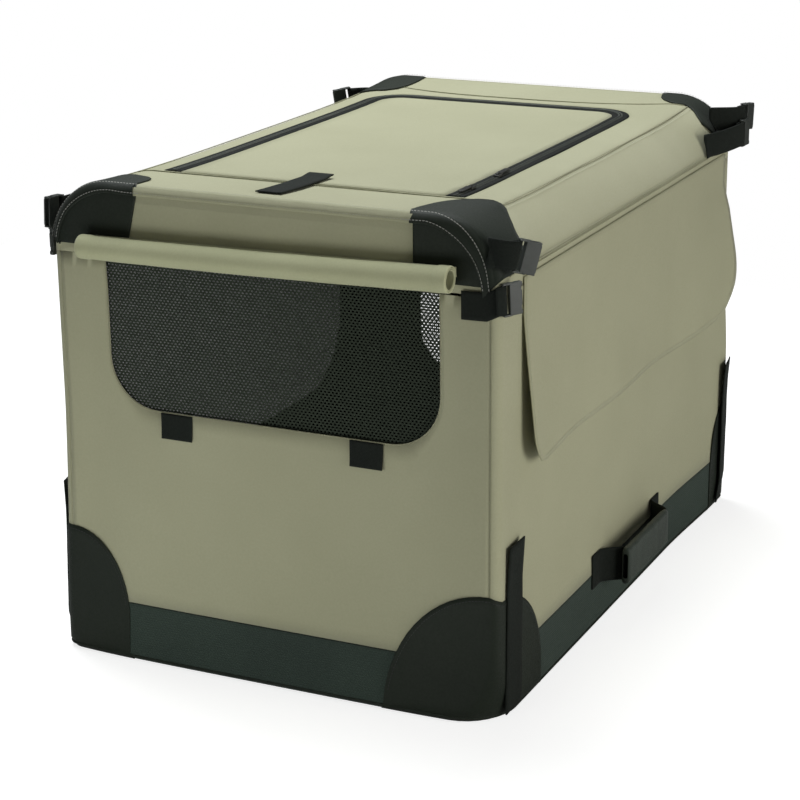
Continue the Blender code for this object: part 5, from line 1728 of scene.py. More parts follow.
@dataclass
class Base(Assembly):
    """Woven band with its piping, the floor and the mat, and the tube frames."""

    floor: float = 0.003
    mat_half_x: float = 0.284
    mat_half_y: float = 0.416
    mat_edge_x: float = 0.2875
    mat_edge_y: float = 0.4195
    channels: tuple[float, ...] = (-0.208, 0.0, 0.208)
    tube_radius: float = 0.0062
    tube_depth: float = 0.0085
    hoop_place: float = 0.455
    leg_inset: float = 0.0065
    bar_rise: float = 0.0055
    bar_bend: float = 0.030

    def build(self) -> None:
        """Make the base."""
        self.make_band()
        self.make_piping()
        self.make_mat()
        for name in ("base_frame", "rear_end_frame"):
            self.paint(name)
        self.make_roof_tubes()
        self.make_front_tube()

    def make_roof_tubes(self) -> None:
        """Two hoops and two long rails that carry the roof cover."""
        form, deep, place = self.form, -self.tube_depth, self.hoop_place
        reach = form.flat_half + form.arc_run
        hoops = [[form.cover(s, t, deep) for s in spread(-reach, reach, 60)] for t in (-place, place)]
        rails = [[form.cover(s, t, deep) for t in spread(-place, place, 30)] for s in (-reach, reach)]
        tubes = cord_piece("roof_tubes", hoops + rails, self.tube_radius, self.wear.tube, 14)
        self.fit(tubes, "roof", "frame_tube", "roof_frame")

    def make_front_tube(self) -> None:
        """The folding front frame: two legs and a top bar with round corners."""
        low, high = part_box("front_end_frame")
        x, y, top, bend = high.x - self.leg_inset, (low.y + high.y) / 2, high.z + self.bar_rise, self.bar_bend
        foot, turn = low.z + self.leg_inset, top - bend
        outline = [(-x, z) for z in spread(foot, turn, 20)] + arc(-x + bend, turn, bend, 180, 90, 8)[1:]
        outline += [(u, top) for u in spread(-x + bend, x - bend, 24)[1:]]
        outline += arc(x - bend, turn, bend, 90, 0, 8)[1:] + [(x, z) for z in spread(turn, foot, 20)[1:]]
        line = [Vector((u, y, z)) for u, z in outline]
        tube = cord_piece("front_tube", [line], self.tube_radius, self.wear.tube, 14)
        self.fit(tube, "front_frame", "frame_tube", "front_end_frame")

    def paint(self, name: str) -> None:
        """Give a tube of the model its finish."""
        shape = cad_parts[name].data
        for i in range(len(shape.materials)):
            shape.materials[i] = self.wear.tube

    def ring(self, z: float, lift: float, inward: float = 0.0) -> Row:
        """Plan outline of the base at a height.

        Args:
            z: Height.
            lift: Distance off the cloth.
            inward: Distance inside the outline.

        Returns:
            The outline as a row of points.
        """
        half_x, half_y, wide = self.form.foot(z, lift)
        tight = self.form.foot(z, lift, True)[2]
        half_x, half_y = half_x - inward, half_y - inward
        bends: list[list[Flat]] = []
        for side, end, start in ((1, -1, 270), (1, 1, 0), (-1, 1, 90), (-1, -1, 180)):
            radius = max(0.004, (tight if side * end > 0 else wide) - inward)
            x, y = side * (half_x - radius), end * (half_y - radius)
            bends.append(arc(x, y, radius, start, start + 90, 8))
        points: list[Flat] = []
        for bend, following in zip(bends, bends[1:] + bends[:1]):
            points += bend + steps_between(bend[-1], following[0], 30)[1:]
        row: Row = []
        run = 0.0
        for i, (x, y) in enumerate(points):
            run += hypot(x - points[i - 1][0], y - points[i - 1][1]) if i else 0.0
            row.append((Vector((x, y, z)), (run, z)))
        return row

    def make_band(self) -> None:
        """Band and floor in one skin."""
        heights = (0.0, 0.0008, 0.003, 0.006, 0.010, 0.016, 0.024, 0.034, 0.046, 0.058, 0.070, 0.080)
        rows = [self.ring(0.0, 0.0, inward) for inward in (0.30, 0.15, 0.05, 0.02)]
        rows += [self.ring(z, 0.0) for z in (*heights, self.form.band)]
        # The inner side of the band and floor takes the painted shade colour
        finishes = [self.wear.band, self.wear.inner_shade]
        band = Cloth().grid(rows, wrap=True).build("base_band", finishes, 0.0019, BODY_CENTRE)
        self.fit(band, "base", "woven_band", "base_tray")

    def make_piping(self) -> None:
        """Black piping under the band and a flat seam along its top."""
        low = [p for p, _ in self.ring(0.0075, -0.0002)]
        top = [p for p, _ in self.ring(self.form.band - 0.001, -0.0004)]
        piping = cord_piece("band_piping", [low], 0.0020, self.wear.patch, 8, closed=True)
        self.fit(piping, "base", "webbing")
        seam = cord_piece("band_seam", [top], 0.0007, self.wear.patch, 6, closed=True)
        self.fit(seam, "base", "zip_tape")

    def make_mat(self) -> None:
        """The floor mat, puffed by a cloth simulation, with sewn channels."""
        low = self.floor + 0.0006
        columns, rows = 24, 36
        cloth = Cloth()
        top: list[Row] = []
        bottom: list[Row] = []
        for v in spread(-1, 1, rows):
            upper: Row = []
            lower: Row = []
            for u in spread(-1, 1, columns):
                x = u * (self.mat_half_x - 0.006 * (1 - v * v) * abs(u))
                y = v * (self.mat_half_y - 0.006 * (1 - u * u) * abs(v))
                edge = sqrt(max(0.0, 1 - max(abs(u), abs(v)) ** 8))
                upper.append((Vector((x, y, low + 0.006 + 0.006 * edge)), (x, y)))
                lower.append((Vector((x, y, low + 0.0055 - 0.0055 * edge)), (x, y)))
            top.append(upper)
            bottom.append(lower)
        cloth.grid(top)
        cloth.grid(bottom)
        rims = [table[0][:-1] + [row[-1] for row in table[:-1]] + table[-1][:0:-1]
                + [row[0] for row in table[:0:-1]] for table in (top, bottom)]
        cloth.grid(rims, wrap=True)
        mat = cloth.build("mat", [self.wear.pile], 0.0, (0, 0, low + 0.006))
        self.puff(mat, 2.0, 0.011)
        self.press_channels(mat, low)
        self.fit(mat, "base", "floor_mat", "floor_mat")

    def puff(self, piece: Piece, pressure: float, cap: float) -> None:
        """Blow a closed piece up a little with a cloth simulation and keep the result.

        Args:
            piece: Closed mesh.
            pressure: Air pressure of the simulation.
            cap: Farthest that any point may move.
        """
        before = [v.co.copy() for v in piece.data.vertices]
        cloth = piece.modifiers.new("puff", "CLOTH")
        cloth.settings.use_pressure = True
        cloth.settings.uniform_pressure_force = pressure
        cloth.settings.effector_weights.gravity = 0.0
        cloth.settings.tension_stiffness = 30
        cloth.settings.quality = 4
        cloth.point_cache.frame_start, cloth.point_cache.frame_end = 1, 16
        scene = bpy.context.scene
        for moment in range(1, 17):
            scene.frame_set(moment)
        depsgraph = bpy.context.evaluated_depsgraph_get()
        result = bpy.data.meshes.new_from_object(piece.evaluated_get(depsgraph))
        after = [v.co.copy() for v in result.vertices]
        bpy.data.meshes.remove(result)
        piece.modifiers.clear()
        scene.frame_set(1)
        for vertex, a, b in zip(piece.data.vertices, before, after):
            move = b - a
            if move.length > cap:
                move = move.normalized() * cap
            vertex.co = a + move

    def press_channels(self, piece: Piece, low: float) -> None:
        """Press sewn channels into the mat and keep it inside its place.

        Args:
            piece: The mat.
            low: Height of the floor under it.
        """
        for vertex in piece.data.vertices:
            point = vertex.co
            near = min(abs(point.y - y) for y in self.channels)
            press = 0.004 * (1 - smoothstep(near / 0.018)) if point.z > low + 0.008 else 0.0
            point.z = min(max(point.z - press, low), low + 0.0225)
            point.x = max(-self.mat_edge_x, min(self.mat_edge_x, point.x))
            point.y = max(-self.mat_edge_y, min(self.mat_edge_y, point.y))


# Walls


@dataclass
class Wall:
    """One upright wall with a window.

    The flat coordinates are the distance along the wall and the height.
    """

    name: str
    place: Place
    half: float
    window_half: float
    window_top: float
    node: str
    mesh_node: str
    body: str = "base"
    window_bottom: float = 0.3645
    radius: float = 0.070

    @property
    def seed(self) -> float:
        """Number that gives the wall its own folds."""
        return len(self.name) * 1.37

    @property
    def window(self) -> list[Flat]:
        """Outline of the window, with round lower corners."""
        low, high = (-self.window_half, self.window_bottom), (self.window_half, self.window_top)
        return rounded_outline(low, high, (self.radius, self.radius, 0, 0), 10)


@dataclass
class Walls(Assembly):
    """The four cloth walls with their windows, and the rear door."""

    low_window: float = 0.162
    top: float = 0.5705
    foot: float = 0.0855
    step: float = 0.020
    side_window: float = 0.350
    left_window: float = 0.366
    end_window: float = 0.240
    rear_window: float = 0.216
    rear_window_top: float = 0.530
    door_half: float = 0.242
    door_low: float = 0.126
    door_high: float = 0.548
    door_radius: float = 0.080
    door_zip: float = 0.014
    fold_depth: float = 0.0030
    fine_depth: float = 0.0008
    mesh_margin: float = 0.008
    mesh_depth: float = 0.0064
    tab_places: Flat = (-0.1406, 0.1370)
    tab_half: float = 0.0235

    def right(self, u: float, z: float, depth: float) -> Vector:
        """Place on the right wall."""
        return Vector((self.form.width / 2 - depth, u, z))

    def left(self, u: float, z: float, depth: float) -> Vector:
        """Place on the left wall."""
        return Vector((-self.form.width / 2 + depth, u, z))

    def front(self, u: float, z: float, depth: float) -> Vector:
        """Place on the front wall."""
        return Vector((u, -self.form.length / 2 + depth, z))

    def rear(self, u: float, z: float, depth: float) -> Vector:
        """Place on the rear wall."""
        return Vector((u, self.form.length / 2 - depth, z))

    def build(self) -> None:
        """Make every wall piece."""
        end_half = self.form.width / 2 - self.form.end_round
        side_half = self.form.end_flat - 0.014
        walls = (
            Wall("right_wall", self.right, side_half, self.side_window, self.top, "right_panel", "right_mesh"),
            Wall("left_wall", self.left, side_half, self.left_window, self.top, "left_panel", "left_mesh",
                 "base", self.low_window, 0.125),
            Wall("front_wall", self.front, end_half, self.end_window, self.top, "front_panel", "front_mesh"),
        )
        for wall in walls:
            self.make_wall(wall)
            self.make_window(wall)
        self.make_rear()
        self.make_upright_seams(end_half)
        self.make_tabs()

    def dent(self, u: float, z: float, seed: float) -> float:
        """Depth of the soft folds of a wall, calm at its edges.

        Args:
            u: Distance along the wall.
            z: Height.
            seed: Number that gives other folds.

        Returns:
            The depth.
        """
        calm = smoothstep((z - self.foot) / 0.05) * smoothstep((self.top - z) / 0.05)
        slow = 0.5 + 0.5 * noise.noise(Vector((u / 0.11, z / 0.30, seed)))
        fine = 0.5 + 0.5 * noise.noise(Vector((u / 0.035, z / 0.12, seed + 4)))
        return calm * (self.fold_depth * slow + self.fine_depth * fine)

    def make_wall(self, wall: Wall) -> None:
        """A wall around its window. A long wall also turns its upright corners.

        Args:
            wall: The wall.
        """
        cloth = Cloth()
        outer = edge_points((-wall.half, self.foot), (wall.half, self.top), self.step)

        def spot(flat: Flat) -> Vector:
            """Place of the wall's cloth, with its folds."""
            calm = smoothstep((wall.half - abs(flat[0])) / 0.05)
            return wall.place(flat[0], flat[1], calm * self.dent(flat[0], flat[1], wall.seed))

        cloth.grid(ring_between(wall.window, outer, 12, spot), wrap=True)
        if wall.name != "front_wall":
            self.wrap_corners(cloth, wall)
        self.fit_wall(self.shade_inside(cloth, wall.name), "base", "sage_cloth", wall.node)

    def wrap_corners(self, cloth: Cloth, wall: Wall) -> None:
        """Carry a long wall round both of its upright corners.

        Args:
            cloth: Cloth that the strips are added to.
            wall: The long wall.
        """
        form = self.form
        way = 1 if wall.name == "right_wall" else -1
        bend = form.end_round
        count = max(1, round((self.top - self.foot) / self.step))
        for end in (-1, 1):
            plan = [(form.width / 2, y) for y in spread(wall.half, form.end_flat, 2)[:-1]]
            plan += [(form.width / 2 - bend + bend * cos(a), form.end_flat + bend * sin(a))
                     for a in spread(0, pi / 2, 8)]
            rows: list[Row] = []
            for z in spread(self.foot, self.top, count):
                run = wall.half
                row: Row = []
                for i, (x, y) in enumerate(plan):
                    run += hypot(x - plan[i - 1][0], y - plan[i - 1][1]) if i else 0.0
                    row.append((Vector((way * x, end * y, z)), (end * run, z)))
                rows.append(row)
            cloth.grid(rows)

    def make_window(self, wall: Wall) -> None:
        """The mesh behind a window, and the rolled edge around it.

        Args:
            wall: The wall that holds the window.
        """
        half = wall.window_half + self.mesh_margin
        low, high = wall.window_bottom - self.mesh_margin, min(self.top, wall.window_top + self.mesh_margin)
        rows: list[Row] = []
        for z in spread(low, high, 16):
            past = max(0.0, low + wall.radius - z)
            reach = half - wall.radius + sqrt(max(0.0, wall.radius ** 2 - past ** 2))
            row: Row = []
            for share in spread(-1, 1, 30):
                u = share * reach
                slack = 0.003 * (1 - share ** 4) * sin(pi * (z - low) / (high - low))
                row.append((wall.place(u, z, self.mesh_depth + slack), (u, z)))
            rows.append(row)
        own = {"front_wall": self.wear.mesh, "rear_window": self.wear.rear_mesh}
        finish = own.get(wall.name, self.wear.side_mesh)
        mesh = Cloth().grid(rows).build(wall.name + "_mesh", [finish], 0.0, BODY_CENTRE)
        self.fit_wall(mesh, wall.body, "window_mesh", wall.mesh_node)
        path: list[Vector] = []
        for a, b in zip(wall.window, wall.window[1:] + wall.window[:1]):
            for share in spread(0, 1, 12)[:-1]:
                u, z = between(a, b, share)
                path.append(wall.place(u, z, self.dent(u, z, wall.seed) + 0.0006))
        rim = cord_piece(wall.name + "_rim", [path], 0.0011, self.wear.sage_seam, 6, closed=True)
        self.fit_wall(rim, wall.body, "sage_cloth")

    def door_outline(self, inset: float, hinge: float) -> list[Flat]:
        """Outline of the rear door at an inset, square on its hinge side."""
        radius = self.door_radius - inset
        low = (-self.door_half + inset, self.door_low + inset)
        return rounded_outline(low, (self.door_half - hinge, self.door_high - inset), (radius, 0, 0, radius), 8)

    def make_rear(self) -> None:
        """Rear wall, zipped door and its window."""
        form = self.form
        half = form.width / 2 - form.end_round
        outer = edge_points((-half, self.foot), (half, self.top), self.step)
        hole = self.door_outline(0.003, -form.gap)
        rows = ring_between(hole, outer, 6, lambda f: self.rear(*f, 0.3 * self.dent(*f, 9.0)))
        panel = self.shade_inside(Cloth().grid(rows, wrap=True), "rear_wall")
        self.fit_wall(panel, "base", "sage_cloth", "rear_panel")
        wall = Wall("rear_window", self.rear, half, self.rear_window, self.rear_window_top, "rear_door",
                    "rear_mesh", "rear_leaf", self.low_window)
        leaf = self.door_outline(self.door_zip - 0.003, 0.0)
        edge: list[Flat] = []
        for a, b in zip(leaf, leaf[1:] + leaf[:1]):
            edge += steps_between(a, b, max(1, round(hypot(b[0] - a[0], b[1] - a[1]) / self.step)))
        rows = ring_between(wall.window, edge, 8, lambda f: self.rear(*f, 0.25 * self.dent(*f, 12.0)))
        shut = self.shade_inside(Cloth().grid(rows, wrap=True), "rear_leaf_cloth")
        self.fit_wall(shut, "rear_leaf", "sage_cloth", "rear_door")
        self.make_window(wall)
        self.make_door_zip()

    def make_door_zip(self) -> None:
        """Tape and coil around three sides of the rear door."""

        def line(inset: float) -> list[Flat]:
            """Path from the hinge along the top, down and back.

            Args:
                inset: Distance inside the doorway.

            Returns:
                Places along the wall and heights.
            """
            radius = self.door_radius - inset
            low, high = self.door_low + inset, self.door_high - inset
            left = -self.door_half + inset
            us = spread(self.door_half, left + radius, 40)
            path = [(u, high) for u in us[:-1]] + arc(left + radius, high - radius, radius, 90, 180, 8)
            zs = spread(high - radius, low + radius, 24)
            path += [(left, z) for z in zs[1:-1]] + arc(left + radius, low + radius, radius, 180, 270, 8)
            return path + [(u, low) for u in us[-2::-1]]

        insets = (0.0, 0.003, 0.006, 0.008, 0.011, self.door_zip)
        lifts = (0.0005, 0.0011, 0.0007, 0.0007, 0.0011, 0.0005)
        columns = [line(inset) for inset in insets]
        rows = [[(self.rear(*column[k], -lift), (inset, k * 0.012))
                 for inset, lift, column in zip(insets, lifts, columns)] for k in range(len(columns[0]))]
        tape = Cloth().grid(rows).build("rear_zip_tape", [self.wear.tape], self.form.cloth, BODY_CENTRE)
        self.fit_wall(tape, "base", "zip_tape", "rear_door_zip")
        middle = [self.rear(u, z, -0.0007) for u, z in line(self.door_zip / 2)]
        coil = cord_piece("rear_zip_coil", [middle], 0.0012, self.wear.coil, 6)
        self.fit_wall(coil, "base", "zip_tape")

    def make_upright_seams(self, half: float) -> None:
        """Seams down the corners of the end walls.

        Args:
            half: Distance of the seams from the middle.
        """
        cords: list[list[Vector]] = []
        for end in (-1, 1):
            for side in (-1, 1):
                y = end * (self.form.length / 2 - 0.0003)
                cords.append([Vector((side * (half + 0.0004), y, z)) for z in spread(self.foot, self.top, 40)])
        seams = cord_piece("upright_seams", cords, 0.0009, self.wear.sage_seam, 6)
        self.fit_wall(seams, "base", "sage_cloth")

    def make_tabs(self) -> None:
        """Two short webbing tabs under the front window."""
        for label, x in zip(("left", "right"), self.tab_places):
            node = "front_tab_" + label
            low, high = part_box(node)
            path = []
            for z in spread(high.z, low.z, 10):
                share = (high.z - z) / (high.z - low.z)
                path.append(Vector((x, high.y - 0.0002 - 0.0022 * share ** 2, z + 0.0015 * share)))
            tab = band_piece("hook_tab_" + label, path, lambda i: X_WAY,
                             lambda share: self.tab_half * (1 - 0.03 * share), self.wear.webbing, 0.0018, 6, -1.0)
            self.fit_wall(tab, "base", "webbing", node)


# Blinds


@dataclass
class Blinds(Assembly):
    """Three rolled blinds and the one that hangs down."""

    outer: float = 0.0175
    core: float = 0.0130
    turns: float = 2.25
    roll_tilt: float = 0.0042
    hem_width: float = 0.0175
    end_height: float = 0.589
    end_half: float = 0.263
    side_height: float = 0.565
    side_half: float = 0.362
    flap_top: float = 0.5808
    heading: float = 0.5890
    flap_bottom: float = 0.330
    flap_front: float = 0.396
    flap_rear: float = 0.440
    front_radius: float = 0.046
    rear_radius: float = 0.096
    front_flare: float = 0.010
    rear_flare: float = 0.029
    fold_depth: float = 0.006
    corner_tuck: float = 0.013
    stitch_inset: float = 0.006
    stitch_lift: float = 0.0018
    heading_lap: float = 0.0024

    def build(self) -> None:
        """Make all four blinds."""
        stand = self.form.gap + self.form.patch + self.form.gap + self.outer
        end = (self.form.length / 2 + stand, self.end_height, self.end_half)
        side = (self.form.width / 2 + stand, self.side_height, self.side_half)
        tilt, half = self.roll_tilt, self.end_half
        self.make_roll("front", lambda c, a, z: Vector((a, -c, z + tilt * a / half)), *end)
        self.make_roll("rear", lambda c, a, z: Vector((-a, c, z)), *end)
        self.make_roll("left", lambda c, a, z: Vector((-c, -a, z)), *side)
        self.make_flap()

    def make_roll(self, label: str, place: Place, centre: float, height: float, half: float) -> None:
        """A blind rolled up on itself, open at both ends.

        Args:
            label: Which wall it belongs to.
            place: Turns distance out, along and height into a place in space.
            centre: Distance of the roll's middle from the crate's middle.
            height: Height of the roll's middle.
            half: Half length.
        """
        steps = round(self.turns * 26)
        spiral: list[Flat] = [(pi, -1.0), (pi, -0.5)]
        spiral += [(pi - 2 * pi * self.turns * k / steps, k / steps) for k in range(steps + 1)]
        rows: list[Row] = []
        tips, middle = spread(0.0, 0.020, 10), spread(-half + 0.020, half - 0.020, 36)[1:-1]
        for along in [-half + tip for tip in tips] + middle + [half - tip for tip in reversed(tips)]:
            share = abs(along) / half
            away = half - abs(along)
            hem = 0.0009 * smoothstep((self.hem_width - away) / 0.0018)
            hem -= 0.0006 * smoothstep((0.0020 - away) / 0.0020)
            sag = 0.0022 * (1 - share ** 2)
            full = 1 + 0.025 * along / half
            row: Row = []
            for angle, part in spiral:
                if part < 0:
                    rise = self.outer / 3 if part > -0.75 else self.outer * 0.72
                    row.append((place(centre - (self.outer - 0.0008), along, height + rise), (along, -rise)))
                    continue
                soft = 0.0005 * ripple(Vector((along, cos(angle) * 0.03, sin(angle) * 0.03)), 0.05, 2.0)
                inward = (self.core - self.outer) * part + hem * (1 - part)
                radius = (self.outer - 0.0009 + inward + soft - 0.0004) * full
                spot = place(centre + radius * cos(angle), along, height - sag + radius * sin(angle))
                row.append((spot, (along, self.outer * (pi - angle))))
            rows.append(row)
        roll = Cloth().grid(rows).build(label + "_roll_cloth", [self.wear.roll], 0.0014, None, 0.0)
        self.fit(roll, label + "_roll", "sage_cloth", label + "_blind")

    def flap_point(self, y: float, z: float) -> float:
        """How far the hanging blind stands off the wall.

        Args:
            y: Place along the crate.
            z: Height.

        Returns:
            The distance.
        """
        straight = self.flap_top - 0.050
        fall = max(0.0, (straight - z) / (straight - self.flap_bottom))
        share = 2 * (y + self.flap_front) / (self.flap_rear + self.flap_front) - 1
        folds = 0.5 + 0.5 * cos(pi * (2.4 * share + 0.4))
        lift = (self.rear_flare if share > 0 else self.front_flare) * share ** 2 + self.fold_depth * folds
        curl = 0.005 * smoothstep((abs(share) - 0.88) / 0.12) * fall
        fine = 0.5 + 0.5 * noise.noise(Vector((y / 0.05, z / 0.14, 1.0)))
        fine = 0.0012 * fine * min(1.0, fall * 2)
        rear_rise = 0.004 * smoothstep((share - 0.6) / 0.4) * min(1.0, fall * 5)
        return self.form.gap + lift * fall ** 1.15 + curl + fine + rear_rise

    def tuck(self, y: float, z: float) -> float:
        """How far the hanging blind is drawn up towards its rear lower corner."""
        share = (self.flap_top - z) / (self.flap_top - self.flap_bottom)
        return self.corner_tuck * smoothstep((y - 0.20) / 0.24) * share

    def on_flap(self, y: float, z: float, lift: float) -> Vector:
        """Place on the hanging blind, lifted off it."""
        return Vector((self.form.width / 2 + self.flap_point(y, z) + lift, y, z + self.tuck(y, z)))

    def flap_edge(self, reach: float, radius: float, z: float) -> float:
        """How far an edge of the hanging blind lies from the middle at a height."""
        past = max(0.0, self.flap_bottom + radius - z)
        return reach - radius + sqrt(max(0.0, radius ** 2 - past ** 2))

    def make_flap(self) -> None:
        """The blind that hangs over the right window, with its hem stitches."""
        columns, rows = 64, 36
        table: list[Row] = []
        for share in spread(0, 1, rows):
            z = self.flap_top - (self.flap_top - self.flap_bottom) * share
            front = -self.flap_edge(self.flap_front, self.front_radius, z)
            rear = self.flap_edge(self.flap_rear, self.rear_radius, z)
            ys = [front + (rear - front) * k for k in spread(0, 1, columns)]
            table.append([(self.on_flap(y, z, self.rise(z)), (y, z)) for y in ys])
        flap = Cloth().grid(table).build("side_flap", [self.wear.sage, self.wear.sage], 0.0014, BODY_CENTRE)
        self.fit_wall(flap, "right_flap", "sage_cloth", "right_blind")
        self.make_heading()
        self.make_flap_stitches()

    def rise(self, z: float) -> float:
        """How far the blind's cloth stands off near its sewn heading."""
        return 0.0004 + 0.0012 * smoothstep((self.heading - z) / 0.012)

    def make_heading(self) -> None:
        """The sewn strip from which the hanging blind starts."""
        x = self.form.width / 2 + self.form.gap
        ys = spread(-self.flap_front, self.flap_rear, 64)
        rows = [[(Vector((x + self.rise(z), y, z)), (y, z)) for y in ys]
                for z in spread(self.heading, self.flap_top + self.heading_lap, 5)]
        finishes = [self.wear.sage, self.wear.sage]
        strip = Cloth().grid(rows).build("flap_heading", finishes, 0.0010, BODY_CENTRE)
        self.fit(strip, "roof", "sage_cloth")

    def make_flap_stitches(self) -> None:
        """Stitches along the three free edges of the hanging blind."""
        inset, low = self.stitch_inset, self.flap_bottom
        front, rear, near, far = -self.flap_front, self.flap_rear, self.front_radius, self.rear_radius
        outline = [(front + inset, z) for z in spread(self.flap_top - 0.004, low + near, 16)]
        outline += arc(front + near, low + near, near - inset, 180, 270, 12)[1:]
        outline += [(y, low + inset) for y in spread(front + near, rear - far, 50)[1:]]
        outline += arc(rear - far, low + far, far - inset, 270, 360, 12)[1:]
        outline += [(rear - inset, z) for z in spread(low + far, self.flap_top - 0.004, 16)[1:]]
        line = [(self.on_flap(y, z, self.stitch_lift), X_WAY) for y, z in outline]
        hem = stitch_piece("flap_stitches", [line], self.wear.sage_thread)
        self.fit_wall(hem, "right_flap", "sage_cloth")


# Straps and handle


@dataclass(frozen=True)
class StrapRun:
    """Course of a corner strap seen from above, drawn for the right side and turned half round for the left."""

    corner: Corner
    level: Level
    height: float
    root: Flat
    start: float
    end: float
    length: float
    straight: float = 0.0
    hand: int = 1
    rise: float = 0.0
    lean: float = 0.0

    @property
    def node(self) -> str:
        """Start of the names of its nodes, and name of its body."""
        return f"{self.corner.label}_{self.level.value}"

    @property
    def turn(self) -> int:
        """1 as drawn, -1 turned half round."""
        return self.corner.side


@dataclass(frozen=True)
class Block:
    """One rounded block of a buckle half: its reach along, distances across, and depth.

    A near distance of 0 across makes one block over the whole width, any other makes one on each side.
    """

    along: Flat
    near: float
    far: float
    depth: Flat
    radii: tuple[float, ...]
    steps: int
    bevel: float


BUCKLE_BAR = Block((-0.0013, 0.0013), 0.0, 0.020, (-0.0013, 0.0013), (0.0008,) * 4, 2, 0.0004)
FEMALE_BLOCKS = (
    BUCKLE_BAR,
    Block((0.0079, 0.0110), 0.0, 0.0205, (-0.0050, 0.0050), (0.0008,) * 4, 2, 0.0009),
    Block((-0.0013, 0.0110), 0.0184, 0.021, (-0.0048, 0.0048), (0.0012,) * 4, 3, 0.0008),
    Block((0.0100, 0.0287), 0.0, 0.0204, (-0.0050, -0.0026), (0.003, 0.005, 0.005, 0.003), 5, 0.0009),
    Block((0.0100, 0.0287), 0.0, 0.0204, (0.0026, 0.0050), (0.003, 0.005, 0.005, 0.003), 5, 0.0009),
    Block((0.0100, 0.0160), 0.0182, 0.021, (-0.0044, 0.0044), (0.001,) * 4, 2, 0.0006),
    Block((0.0240, 0.0285), 0.0180, 0.0206, (-0.0044, 0.0044), (0.001,) * 4, 2, 0.0006),
)
MALE_BLOCKS = (
    BUCKLE_BAR,
    Block((0.0079, 0.0245), 0.0, 0.0205, (-0.0030, 0.0030), (0.0008, 0.003, 0.003, 0.0008), 3, 0.0007),
    Block((0.0105, 0.0262), 0.0, 0.0102, (-0.0022, 0.0022), (0, 0.002, 0.002, 0), 4, 0.0006),
    Block((-0.0013, 0.0110), 0.0184, 0.021, (-0.0030, 0.0030), (0.0012,) * 4, 3, 0.0007),
)
SPRING_ARM = ((0.0105, 0.0150), (0.0105, 0.0205), (0.0150, 0.0190), (0.0200, 0.0192), (0.0228, 0.0208),
              (0.0262, 0.0200), (0.0266, 0.0150), (0.0225, 0.0148), (0.0180, 0.0160))


